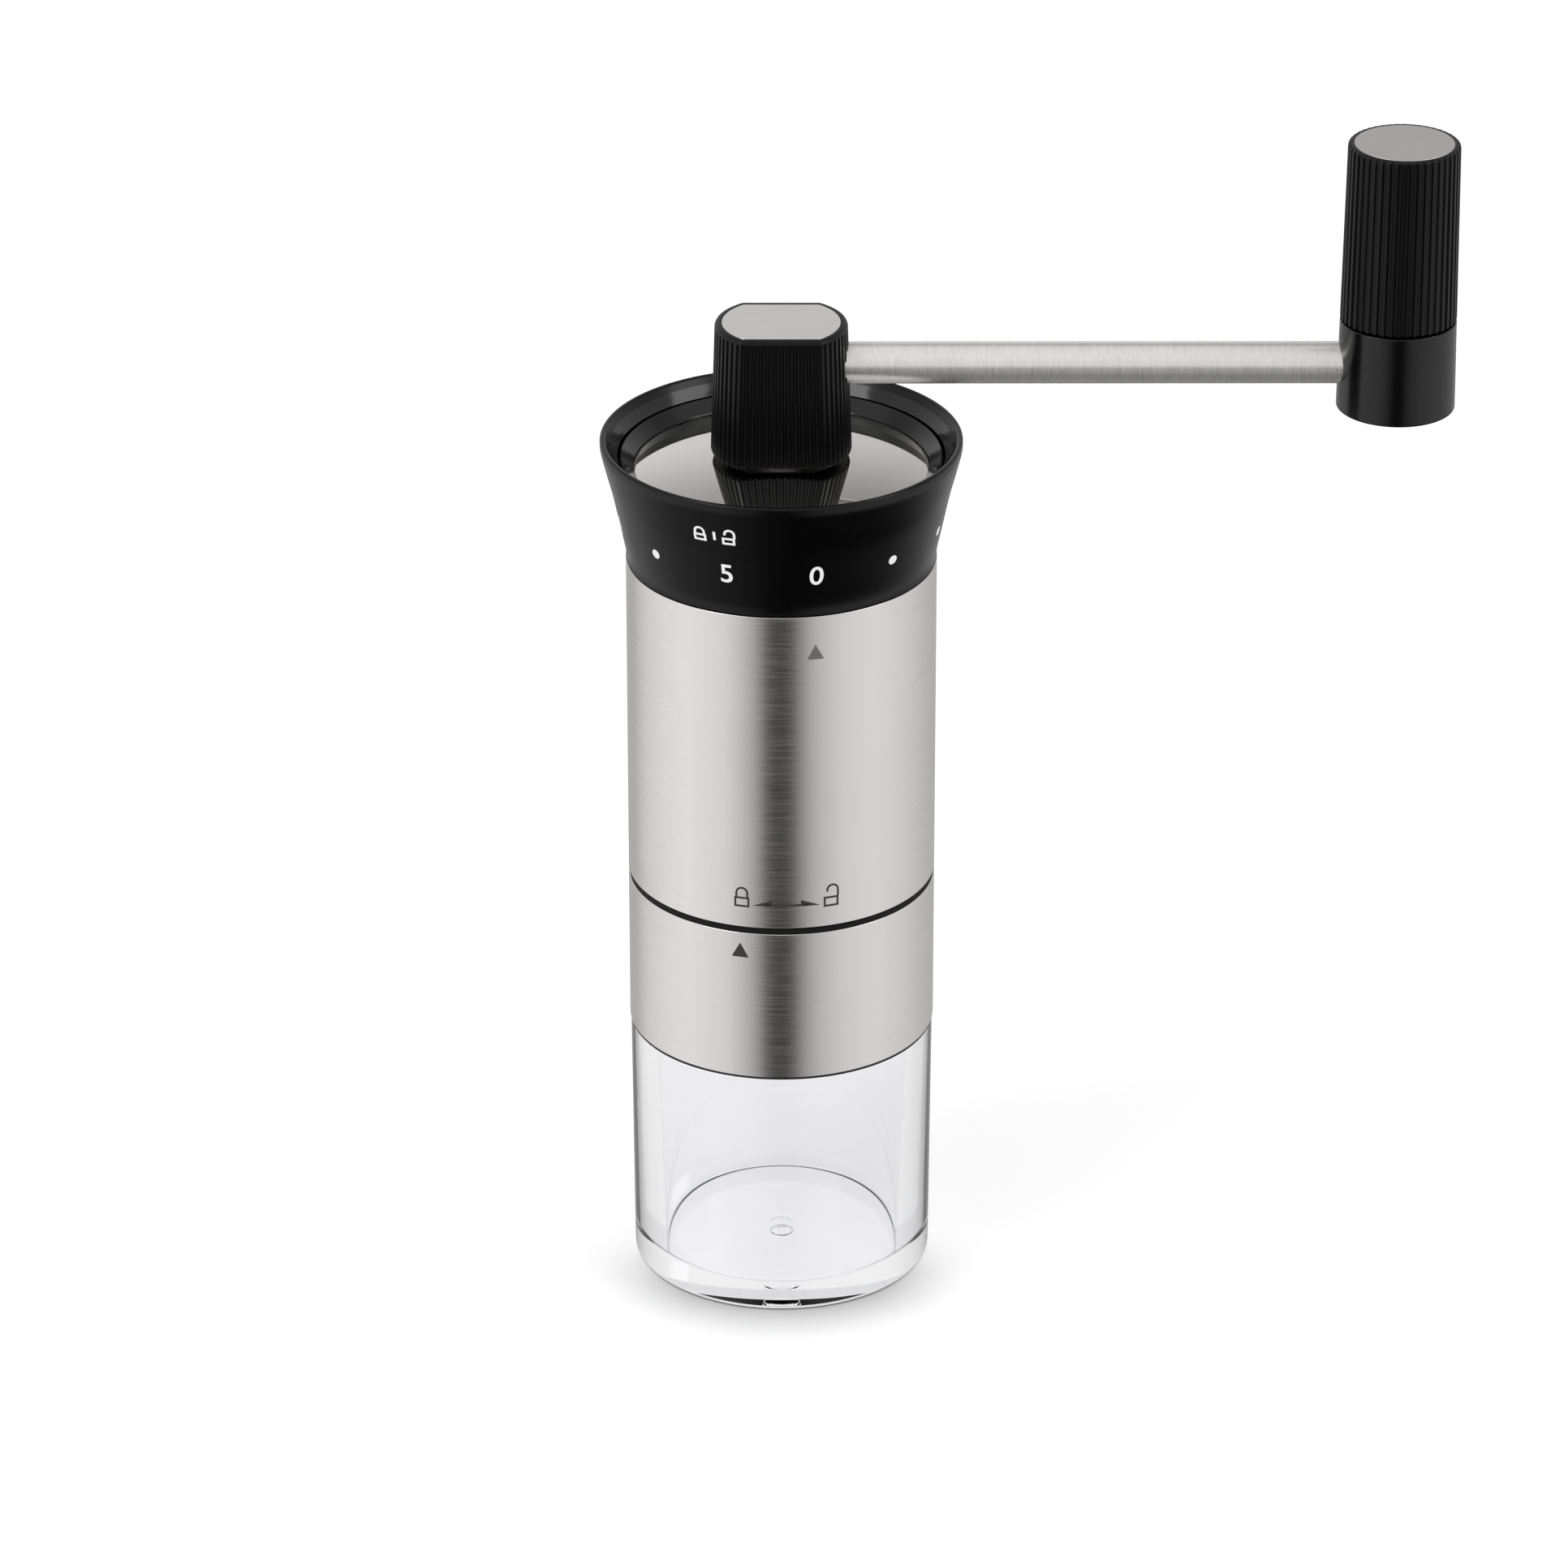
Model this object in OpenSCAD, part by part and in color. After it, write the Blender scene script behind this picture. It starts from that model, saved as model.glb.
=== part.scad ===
// Hand crank coffee grinder with a clear grounds cup, a steel body,
// a numbered grind ring and a lift-off crank lid.
// Millimetres, +Z up, origin at the centre of the foot of the cup.

/* [Cup] */
// Height of the clear cup below the steel collar
cup_h = 47.5; // [36:0.5:64]
// How far the top of the cup lies inside the body's radius
cup_step = 0.2; // [0.1:0.1:1]
// Draft of the cup's outside, top radius less foot radius
cup_draft = 0.4; // [0:0.1:1.5]
// Wall of the cup at the top
cup_wall = 4.3; // [3:0.1:5]
// Draft of the cup's inside, top radius less floor radius
cup_bore_draft = 1.5; // [0:0.1:4]
// Thickness of the cup floor
cup_floor = 4; // [3:0.1:8]
// Rounding at the foot of the cup
cup_foot_round = 0.9; // [0.3:0.1:1.5]
// Height of the neck that goes up into the collar
neck_h = 14.5; // [10:0.5:17]
// Wall of the neck
neck_wall = 2.5; // [1.8:0.1:2.9]
// Diameter of the moulding gate dimple in the cup floor
gate_d = 4; // [2:0.5:8]
// Depth of the gate dimple
gate_depth = 0.3; // [0.2:0.1:0.8]
// Diameter of the small recess under the foot
foot_recess_d = 4.2; // [4:0.2:12]
// Depth of the recess under the foot
foot_recess_depth = 0.8; // [0.4:0.1:1.4]

/* [Body] */
// Outer diameter of the steel body
body_d = 55; // [50:0.5:64]
// Wall of the steel sleeve and of the steel collar
skin_wall = 0.7; // [0.5:0.1:1.2]
// Height of the steel collar around the cup's neck
collar_h = 28.6; // [26:0.2:36]
// Height of the black joint between collar and sleeve
joint_h = 1.2; // [0.8:0.1:2]
// Height of the steel sleeve above the joint
sleeve_h = 60.3; // [54:0.1:90]
// Wall of the inner frame behind the sleeve
frame_wall = 2.2; // [1.8:0.1:3]

/* [Cup bayonet] */
// Thickness of the thin flange seen below the collar
flange_t = 0.4; // [0.3:0.1:1]
// Wall of the collar liner around the bayonet
liner_wall = 1.3; // [1:0.1:1.6]
// Thickness of the liner's shelf over the cup's neck
shelf_t = 2; // [1:0.1:3]
// Length of the frame's skirt inside the collar
skirt_h = 8.7; // [8:0.1:10]
// Wall of the skirt
skirt_wall = 1.9; // [1.4:0.1:2.4]
// How far the bayonet lugs stand out
lug_depth = 1.2; // [0.9:0.1:1.4]
// Height of each bayonet lug
lug_h = 2.9; // [2:0.1:3.2]
// Free turn between the lugs once the cup is open
lug_clear = 5.2; // [4:0.1:14]
// Height of the funnel-shaped chamfer under the burr's seat
chute_h = 2; // [1:0.1:3]
// How far the joint reaches in past the liner
joint_reach = 0.6; // [0.4:0.1:1]
// Turn from locked to open
cup_turn = 34.2; // [33:0.1:40]

/* [Burrs] */
// Distance from the hopper's wall to the ceramic ring burr
burr_inset = 3.55; // [3:0.05:5]
// Wall of the ring burr at its foot
burr_wall = 3.5; // [3:0.1:5]
// Height of the ring burr
burr_h = 14; // [10:0.5:18]
// Thickness of the seat under the ring burr
seat_t = 3; // [2:0.1:4]
// How far the seat reaches in under the ring burr
seat_lip = 1.2; // [0.8:0.1:2]
// Small diameter of the cone burr
cone_top_d = 16; // [13:0.5:20]
// Height of the cone burr
cone_h = 16; // [13:0.5:20]
// Gap between the burrs where they grind
grind_gap = 0.5; // [0.3:0.05:0.8]
// Height of the cone burr's foot above the ring burr's foot
cone_lift = 0.4; // [0.2:0.1:1]
// Room for beans at the top of the ring burr
throat_gap = 3.6; // [2.5:0.1:5]
// Number of teeth on the cone burr
cone_teeth = 12; // [6:1:20]
// Number of teeth on the ring burr
ring_teeth = 18; // [9:1:30]
// Depth of the teeth
tooth_depth = 1.2; // [0.6:0.1:1.6]
// Height above the burr's foot at which the teeth of the cone start
tooth_start = 2.5; // [1.5:0.1:4]
// Slant of the teeth
tooth_slant = 14; // [8:1:20]
// Height of the straight foot of the ring burr's bore
burr_foot_h = 3; // [2:0.1:4]
// Height of the funnel above the ring burr
funnel_h = 13; // [9:0.5:18]
// Width of the funnel's lip on the ring burr
funnel_lip = 2.2; // [1.5:0.1:3]
// Height of the funnel's lip
funnel_lip_h = 2; // [1:0.1:3]
// Width of the funnel's upper edge
funnel_edge = 0.7; // [0.5:0.1:1]

/* [Shaft and bearings] */
// Diameter of the drive shaft
shaft_d = 8; // [7:0.1:9]
// Wall of the bearing bushes
bush_wall = 1.25; // [1:0.05:1.6]
// Thickness of the bush flanges
bush_flange_t = 0.8; // [0.6:0.1:1.2]
// How far the bush flanges stand out around the bushes
bush_flange_w = 1.3; // [1:0.1:1.5]
// Length of the lower bush below its bridge
bush_tail = 3; // [1:0.5:6]
// Distance from the shaft's axis to the flat that drives the cone burr
shaft_flat = 3.2; // [2.6:0.1:3.4]
// Width and height of the shaft's shoulder above the cone burr
shoulder = 2; // [1.4:0.1:2.5]
// Wall of the bearing hubs around the bushes
hub_wall = 1.7; // [1.4:0.1:2.2]
// Thickness of the lower bearing bridge
bridge_t = 2.7; // [2:0.1:4]
// Width of the bridge arms
bridge_arm_w = 4; // [3.2:0.1:5]
// Rim width of the lower bearing bridge
bridge_rim = 1.5; // [1.2:0.1:2]
// Shank diameter of the three bridge screws
bridge_screw_d = 2; // [1.6:0.1:2.2]
// Length of the bridge screws below their heads
bridge_screw_l = 9; // [6:0.5:11]
// Height of the bridge screws' heads
screw_head_h = 1.2; // [0.8:0.1:1.6]
// Across flats of the hexagon at the top of the shaft
hex_af = 6; // [5:0.1:6.6]
// Length of the hexagon inside the crank's socket
hex_engage = 7; // [5:0.5:7.5]
// Diameter of the threaded end below the cone burr
stud_d = 5; // [4:0.1:6]
// Across flats of the burr nut
nut_af = 8; // [7:0.5:10]
// Height of the burr nut
nut_h = 3; // [2.4:0.1:4]
// Length of the threaded end below the nut
stud_end = 1.5; // [1:0.1:2.5]
// Thickness of the washer under the cone burr
washer_t = 0.8; // [0.6:0.1:1.2]
// Diameter of the washer
washer_d = 15; // [12:0.5:18]
// Thickness of each shaft clip
clip_t = 0.8; // [0.6:0.1:1]
// Depth of the grooves that the shaft clips sit in
clip_groove = 0.6; // [0.4:0.05:0.7]
// How far the shaft clips stand out around the shaft
clip_reach = 2.2; // [1.8:0.1:2.4]

/* [Grind ring] */
// Height of the grind ring
ring_h = 22.2; // [21:0.1:24]
// How far the rim stands out beyond the steel body
ring_flare = 4.4; // [3.6:0.1:5.5]
// Height of the straight foot of the ring
ring_foot_h = 1.6; // [1:0.1:2.2]
// Outline of the flare, each point as its share of the height and of the flare
flare_curve = [[0.3, 0.24], [0.57, 0.53], [0.72, 0.73], [0.86, 0.91], [0.93, 0.99]];
// Width of the lip at the top of the rim
lip_w = 0.9; // [0.6:0.1:1.2]
// Height of the bevel inside the rim
bevel_h = 2.4; // [1.5:0.1:2.7]
// How far the bevel widens the well at its foot
bevel_foot = 0.45; // [0.2:0.05:0.6]
// Height of the frame's head that the ring turns on
head_h = 8; // [7.6:0.1:8.6]
// Step from the frame's outside to its head
head_step = 0.6; // [0.4:0.1:0.8]
// Thickness of the flange inside the ring
ring_flange_t = 2.3; // [1.8:0.1:2.6]
// How far the well is wider than the ring's bore, in radius
well_step = 2.4; // [2.2:0.1:2.5]
// Thread radius of the adjuster below the frame's bore
thread_step = 1.35; // [1.2:0.05:1.6]
// Pitch of the adjuster thread
thread_pitch = 0.8; // [0.7:0.05:0.8]
// Depth of the adjuster thread
thread_depth = 0.4; // [0.2:0.05:0.5]
// Wall of the adjuster ring
adjuster_wall = 1.5; // [1.2:0.1:1.8]
// How far the adjuster's keys reach into the frame
key_depth = 0.7; // [0.5:0.05:0.8]
// Width of each key
key_w = 4.6; // [3.5:0.1:6]
// How far the keys end below the frame's head
key_drop = 0.8; // [0.8:0.1:1.2]
// Height of the adjuster's foot above the ring's seat
adjuster_rise = 1.3; // [1.3:0.1:1.6]
// Height of the adjuster's hub
adjuster_hub_h = 5; // [4:0.1:6]
// Height of the adjuster's arms
adjuster_arm_h = 4.5; // [3:0.1:5.5]
// Travel of the grind ring from 0 to 5
ring_travel = 328.6; // [300:0.1:330]
// Free turn left at each stop of the grind ring
stop_slack = 0.8; // [0.5:0.1:1.5]
// Height of the frame's stop tab
stop_h = 0.6; // [0.5:0.1:0.7]
// How far the retaining clip lies below the frame's head
ring_clip_drop = 2.7; // [2.4:0.1:3]
// Depth of the retaining clip's groove in the frame
ring_clip_bite = 0.5; // [0.4:0.05:0.6]
// How far the retaining clip reaches into the ring
ring_clip_reach = 0.6; // [0.5:0.05:0.7]
// Thickness of the retaining clip of the ring
ring_clip_t = 1; // [0.8:0.1:1.1]

/* [Lid] */
// Rise of the polished lid plate at its middle
dome_rise = 2.7; // [2.5:0.1:2.8]
// Thickness of the polished lid plate
plate_t = 0.6; // [0.5:0.1:0.9]
// Depth of the lid plate's edge below the rim
plate_depth = 5.4; // [5.4:0.1:5.8]
// Width of the lid frame around the plate
lid_border = 2.5; // [2.2:0.1:2.8]
// Height of the lid frame's edge above the plate's edge
lid_edge_h = 2.3; // [1.8:0.1:2.5]
// Chamfer along the lid frame's edge
lid_edge = 0.35; // [0.2:0.05:0.5]
// Thickness of the lid frame under the plate
lid_wall = 1.6; // [1.2:0.1:2]
// Height and reach of the lid lugs
lid_lug = 1; // [0.8:0.05:1]
// Angle that one lid lug spans
lid_lug_span = 9.6; // [6:0.1:10.4]
// Turn from open to locked
lid_turn = 11; // [10.6:0.1:14]
// Thickness of the lid seal
seal_t = 1; // [0.8:0.05:1.1]
// Width of the lid seal
seal_w = 2.8; // [2:0.1:3]
// Distance from the wall of the well to the seal
seal_inset = 1.7; // [1.5:0.1:2]
// Width of the lid frame's rim under the plate
lid_rim_w = 2; // [2:0.1:3]
// Wall of the boss around the lid's bush
lid_boss_wall = 2; // [1.5:0.1:3]
// Wall of the lid's bush
lid_bush_wall = 0.9; // [0.7:0.1:1.1]
// Height of the bush's foot above the foot of the lid
lid_bush_rise = 1; // [0.9:0.1:1.4]

/* [Crank] */
// Diameter of the hub at its foot
hub_d = 24.8; // [22:0.1:27]
// Draft of the hub, foot radius less top radius
hub_draft = 0.75; // [0:0.05:1.5]
// Width of the hub across its two flats
hub_flat_w = 19.4; // [19:0.1:21]
// Lean of each flat, foot width less top width on one side
hub_flat_draft = 0.45; // [0:0.05:0.6]
// Height of the hub
hub_h = 23.9; // [22:0.1:28]
// Gap between the hub and the lid plate
hub_gap = 0.6; // [0.6:0.05:0.9]
// Wall of the hub shell
hub_shell_wall = 2.4; // [1.8:0.1:3]
// Width of the black border around the hub plate
hub_border = 1.25; // [0.8:0.05:1.8]
// Thickness of the hub plate
hub_plate_t = 0.9; // [0.6:0.1:1.4]
// Thickness of the hub's roof below the plate
hub_roof_t = 1.4; // [1:0.1:2]
// Chamfer of the hub's top, its width
hub_edge_w = 0.5; // [0.3:0.05:0.7]
// Chamfer of the hub's top, its height
hub_edge_h = 0.8; // [0.4:0.05:1]
// Width of the grooves between the ribs
groove_w = 0.5; // [0.3:0.05:0.7]
// Depth of the grooves between the ribs
groove_depth = 0.4; // [0.2:0.05:0.6]
// How far the grooves stop below the top
rib_end = 1.1; // [0.9:0.1:2]
// Spacing of the ribs
rib_pitch = 1.25; // [1.1:0.05:1.8]
// Diameter of the crank arm
arm_d = 7.4; // [6:0.1:8]
// Wall of the crank arm
arm_wall = 1; // [0.8:0.1:1.5]
// Height of the arm's centre line above the foot of the hub
arm_rise = 16.2; // [15:0.1:16.6]
// Distance from the shaft to the knob's axis
crank_r = 107.5; // [90:0.5:125]
// How far the arm goes past the middle of the hub
arm_past = 5.5; // [3:0.1:6.5]
// Outer diameter of the drive stem
stem_d = 10; // [9.6:0.1:11]
// Height of the stem's foot above the floor of the well
stem_rise = 0.9; // [0.8:0.05:1]
// Height of the stem's flange above the foot of the hub
stem_flange_rise = 1; // [0.9:0.1:1.6]
// Thickness of the drive stem's flange
stem_flange_t = 2.8; // [2:0.1:3.4]
// Diameter of the two screws through the stem's flange
hub_screw_d = 2.4; // [2:0.1:2.8]
// How far the heads of these screws stand out around the shank
hub_screw_lip = 0.45; // [0.4:0.05:0.5]
// Height of the heads of these screws
hub_screw_head_h = 0.7; // [0.5:0.1:0.8]
// Depth of these screws in the hub's core
hub_screw_bite = 5; // [3:0.5:6]
// Distance from the outside of the core to these screws
hub_screw_inset = 2.4; // [2.2:0.1:2.6]
// Diameter of the grub screw that holds the arm
grub_d = 3; // [2.5:0.1:3.6]
// Side clearance of the stem in the lid's bush
stem_gap = 0.35; // [0.3:0.05:0.4]

/* [Knob] */
// Diameter of the knob's collar at its foot
knob_d = 20.8; // [18:0.1:24]
// Draft of the knob over its whole height, in radius
knob_draft = 0.65; // [0:0.05:1.2]
// Whole height of the knob with its collar
knob_h = 49; // [42:0.5:70]
// Height of the fixed collar
knob_collar_h = 16.4; // [14:0.1:20]
// Height of the arm's centre line above the collar's foot
knob_arm_rise = 8.1; // [6:0.1:9]
// Chamfer at the foot of the collar and at the top of the grip
knob_edge = 0.4; // [0.2:0.1:0.6]
// Wall of the ribbed grip
grip_wall = 1.9; // [1.6:0.05:2.4]
// Number of ribs around the grip
knob_ribs = 44; // [36:1:48]
// Diameter of the knob's axle
axle_d = 5; // [4:0.1:6]
// Diameter of the axle's head
axle_head_d = 8; // [7:0.1:9]
// Height of the axle's head
axle_head_h = 1.8; // [1.2:0.1:2.4]
// Depth of the axle's head below the disc
axle_head_drop = 2.2; // [1:0.1:4]
// Height of the axle's foot above the foot of the collar
axle_rise = 2; // [1:0.1:3]
// Wall between the arm's end and the axle
arm_end_wall = 1.4; // [0.8:0.1:2]
// Thickness of the steel disc on the knob
disc_t = 1.5; // [1:0.1:2]
// Border of rubber around the disc
disc_border = 1.05; // [0.8:0.05:1.4]

/* [Clearances] */
// Gap between pieces that are pressed or fixed together
fit = 0.05; // [0.03:0.01:0.08]
// Gap between pieces that move past each other
move_gap = 0.3; // [0.25:0.01:0.35]
// Gap beside the keys and the clip that guide a moving piece
guide_gap = 0.25; // [0.2:0.01:0.3]
// Radial running clearance of the shaft and of the knob's axle
running_gap = 0.05; // [0.02:0.01:0.09]

/* [Hidden] */

$fn = 96;
e = 0.01;
arms = 3;
arm_step = 360 / arms;

// Radii of the body
skin_r = body_d / 2;
skin_in = skin_r - skin_wall;
frame_r = skin_in - fit;
hopper_r = frame_r - frame_wall;

// Heights from the foot up
z_collar = cup_h + flange_t;
z_joint = z_collar + collar_h;
z_sleeve = z_joint + joint_h;
z_ring_seat = z_sleeve + sleeve_h;
z_ring = z_ring_seat + move_gap;
z_rim = z_ring + ring_h;
z_neck_top = cup_h + neck_h;
z_seat = z_sleeve + seat_t;
z_head = z_ring_seat + head_h;
z_ring_flange = z_head + move_gap;
z_ring_floor = z_ring_flange + ring_flange_t;

// Cup
cup_top_r = skin_r - cup_step;
cup_foot_r = cup_top_r - cup_draft;
cup_bore_r = cup_top_r - cup_wall;
cup_floor_r = cup_bore_r - cup_bore_draft;
neck_r = cup_bore_r + neck_wall;

// Collar liner and bayonet
flange_r = skin_r - cup_step;
liner_r = skin_in - fit;
bayonet_r = liner_r - liner_wall;
lug_r = bayonet_r - move_gap;
skirt_r = lug_r - lug_depth;
skirt_in_r = skirt_r - skirt_wall;
lug_span = cup_turn - lug_clear;
z_shelf = z_neck_top + fit;
shelf_r = cup_bore_r + move_gap;
z_skirt = z_sleeve - skirt_h;
z_liner_lug = z_skirt + lug_h + move_gap;
liner_lug_h = min(lug_h, z_joint - z_liner_lug);
locked_at = 285 - lug_span / 2;

// Burrs, funnel and bridge
burr_r = hopper_r - burr_inset;
seat_in_r = burr_r - seat_lip;
cone_r = burr_r - burr_wall - grind_gap;
z_burr = z_seat + fit;
z_burr_top = z_burr + burr_h;
z_cone = z_burr + cone_lift;
cone_slope = (cone_r - cone_top_d / 2) / cone_h;
z_cone_top = z_cone + cone_h;
z_funnel_top = z_burr_top + funnel_h;
z_bridge = z_funnel_top + fit;
z_bridge_top = z_bridge + bridge_t;
bridge_screw_at = (burr_r + hopper_r) / 2;
screw_post_r = (hopper_r - burr_r) / 2 - 2 * fit;
shaft_r = shaft_d / 2;
bush_bore = shaft_r + running_gap;
bush_r = bush_bore + bush_wall;
bush_flange_r = bush_r + bush_flange_w;
hub_bore = bush_r + fit;
bearing_r = hub_bore + hub_wall;

// Grind ring and adjuster
rim_r = skin_r + ring_flare;
rim_edge = lip_w / 3;
head_r = frame_r - head_step;
ring_bore = head_r + move_gap;
well_r = ring_bore + well_step;
thread_r = hopper_r - thread_step;
ring_thread_r = thread_r + move_gap + 2 * fit;
key_r = hopper_r + key_depth;
slot_r = key_r + guide_gap;
adjust_travel = thread_pitch * ring_travel / 360;
z_adjuster = z_ring_seat + adjuster_rise;
z_adjuster_hub = z_adjuster + adjuster_hub_h;
z_keys_top = z_head - key_drop;
z_adjuster_top = z_ring_floor - move_gap;
adjuster_bore = thread_r - adjuster_wall;
adjuster_rim_r = (adjuster_bore + thread_r - thread_depth) / 2;
z_ring_clip = z_head - ring_clip_drop;
z_ring_clip_top = z_ring_clip + ring_clip_t + 4 * fit;
ring_clip_r = ring_bore + ring_clip_reach;
clip_groove_r = head_r - ring_clip_bite;
z_low_clip = z_adjuster - clip_t - 3 * fit;
z_high_clip = z_adjuster_hub + bush_flange_t + 4 * fit;
clip_seat_r = shaft_r - clip_groove;
tab_span = (360 - ring_travel) / 2 - stop_slack;
tab_at = 90;

// Lid
z_plate = z_rim - plate_depth;
z_dome = z_plate + dome_rise;
lid_r = well_r - move_gap - fit;
plate_r = lid_r - lid_border;
dome_r = (plate_r * plate_r + dome_rise * dome_rise) / (2 * dome_rise);
z_dome_centre = z_dome - dome_r;
z_lid_edge = z_plate + lid_edge_h;
z_seal = z_ring_floor + 2 * fit;
z_lid = z_seal + seal_t + 4 * fit;
seal_r = well_r - seal_inset;
lid_neck_r = lid_r - lid_lug - 2 * fit;
lid_rim_r = lid_neck_r - lid_rim_w;
z_ring_lug = z_lid + lid_lug + move_gap;
ring_lug_r = lid_neck_r + move_gap;
z_lid_flange = z_ring_lug + lid_lug + move_gap;
stem_r = stem_d / 2;
lid_bush_bore = stem_r + stem_gap;
lid_bush_r = lid_bush_bore + lid_bush_wall;
lid_boss_r = lid_bush_r + lid_boss_wall;
z_lid_bush = z_lid + lid_bush_rise;
z_plate_seat = z_plate - plate_t - 2 * fit;

// Crank
z_hub = z_dome + hub_gap;
z_hub_top = z_hub + hub_h;
hub_r = hub_d / 2;
hub_top_r = hub_r - hub_draft;
hub_flat = hub_flat_w / 2;
hub_top_flat = hub_flat - hub_flat_draft;
hub_in_r = hub_top_r - hub_shell_wall;
hub_in_flat = hub_flat - hub_shell_wall;
z_hub_roof = z_hub_top - hub_plate_t - hub_roof_t;
core_r = hub_in_r - fit;
core_flat = hub_in_flat - fit;
z_arm = z_hub + arm_rise;
arm_r = arm_d / 2;
arm_bore = arm_r - arm_wall;
arm_in_x = -arm_past;
z_stem_flange = z_hub + stem_flange_rise;
z_core = z_stem_flange + stem_flange_t + fit;
z_core_top = z_hub_roof - fit;
z_stem = z_ring_floor + stem_rise;
hub_screw_x = core_r - hub_screw_inset;
z_stem_clip = z_stem + 4 * fit;
stem_clip_seat = stem_r - clip_groove;
stem_clip_r = lid_bush_bore + 2 * clip_groove;
z_shaft_top = z_stem + hex_engage;

// Knob
knob_r = knob_d / 2;
z_knob = z_arm - knob_arm_rise;
z_knob_top = z_knob + knob_h;
z_grip = z_knob + knob_collar_h + move_gap;
collar_top_r = knob_r - knob_draft * knob_collar_h / knob_h;
grip_foot_r = knob_r - knob_draft * (z_grip - z_knob) / knob_h;
grip_top_r = knob_r - knob_draft;
knob_core_r = grip_top_r - grip_wall;
disc_r = grip_top_r - disc_border;
axle_r = axle_d / 2;
z_core_end = z_knob_top - disc_t - 2 * fit;
z_axle_head = z_core_end - axle_head_h - axle_head_drop;
z_axle = z_knob + axle_rise;
arm_end_x = crank_r - axle_r - arm_end_wall;

steel = [0.78, 0.78, 0.76];
dark_steel = [0.6, 0.6, 0.6];
black = [0.06, 0.06, 0.07];
rubber = [0.09, 0.09, 0.1];

// Tube with a bore, from z0 to z1
module tube(r_out, r_in, z0, z1) {
    translate([0, 0, z0])
        difference() {
            cylinder(r = r_out, h = z1 - z0);
            translate([0, 0, -1]) cylinder(r = r_in, h = z1 - z0 + 2);
        }
}

// Part of a tube that spans an angle, centred on the angle at
module arc_block(r_out, r_in, z0, z1, at, span) {
    rotate([0, 0, at - span / 2])
        translate([0, 0, z0])
            rotate_extrude(angle = span)
                translate([r_in, 0]) square([r_out - r_in, z1 - z0]);
}

// Prism between two flats, cut from a round bar
module two_flat_bar(r, half_w, z0, z1) {
    intersection() {
        translate([0, 0, z0]) cylinder(r = r, h = z1 - z0);
        translate([-r - 1, -half_w, z0 - 1]) cube([2 * r + 2, 2 * half_w, z1 - z0 + 2]);
    }
}

// Hexagonal bar, given across flats
module hex_bar(af, z0, z1) {
    translate([0, 0, z0]) rotate([0, 0, 30]) cylinder(r = af / sqrt(3), h = z1 - z0, $fn = 6);
}

// Circular clip with a mouth at the back
module clip(r_in, r_out, z0, t) {
    difference() {
        tube(r_out, r_in, z0, z0 + t);
        translate([-r_in * 0.6, 0, z0 - 1]) cube([r_in * 1.2, r_out + 1, t + 2]);
    }
}

// Three spokes from the bearing hub to a rim
module spokes(r_rim, z0, z1) {
    for (i = [0 : arms - 1])
        rotate([0, 0, i * arm_step + 30])
            translate([hub_bore + hub_wall / 2, -bridge_arm_w / 2, z0])
                cube([r_rim - hub_bore - hub_wall / 2, bridge_arm_w, z1 - z0]);
}

module cup() {
    color([0.85, 0.9, 0.93, 0.4])
        difference() {
            rotate_extrude()
                polygon([
                    [0, 0], [cup_foot_r - cup_foot_round, 0],
                    [cup_foot_r - cup_foot_round * 0.3, cup_foot_round * 0.3],
                    [cup_foot_r, cup_foot_round], [cup_top_r, cup_h - fit],
                    [neck_r, cup_h - fit], [neck_r, z_neck_top],
                    [cup_bore_r, z_neck_top], [cup_bore_r, cup_h],
                    [cup_floor_r, cup_floor], [0, cup_floor]]);
            translate([0, 0, cup_floor - gate_depth]) cylinder(d = gate_d, h = gate_depth + 1);
            translate([0, 0, -1]) cylinder(d = foot_recess_d, h = foot_recess_depth + 1);
        }
}

module collar() {
    color(steel) tube(skin_r, skin_in, z_collar, z_joint);
}

module collar_liner() {
    color(black) {
        rotate_extrude()
            polygon([
                [neck_r + fit, cup_h], [flange_r, cup_h], [flange_r, z_collar - e],
                [liner_r, z_collar - e], [liner_r, z_joint - 2 * fit],
                [bayonet_r, z_joint - 2 * fit], [bayonet_r, z_shelf + shelf_t],
                [shelf_r, z_shelf + shelf_t], [shelf_r, z_shelf],
                [neck_r + fit, z_shelf]]);
        for (i = [0 : arms - 1])
            arc_block(bayonet_r + liner_wall / 2, skirt_r + move_gap,
                z_liner_lug, z_liner_lug + liner_lug_h - 2 * fit,
                locked_at + i * arm_step, lug_span);
    }
}

module joint_seal() {
    color(black) tube(flange_r - 2 * fit, bayonet_r - joint_reach, z_joint + fit, z_sleeve - move_gap);
}

module body_sleeve() {
    color(steel) tube(skin_r, skin_in, z_sleeve, z_ring_seat);
}

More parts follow.
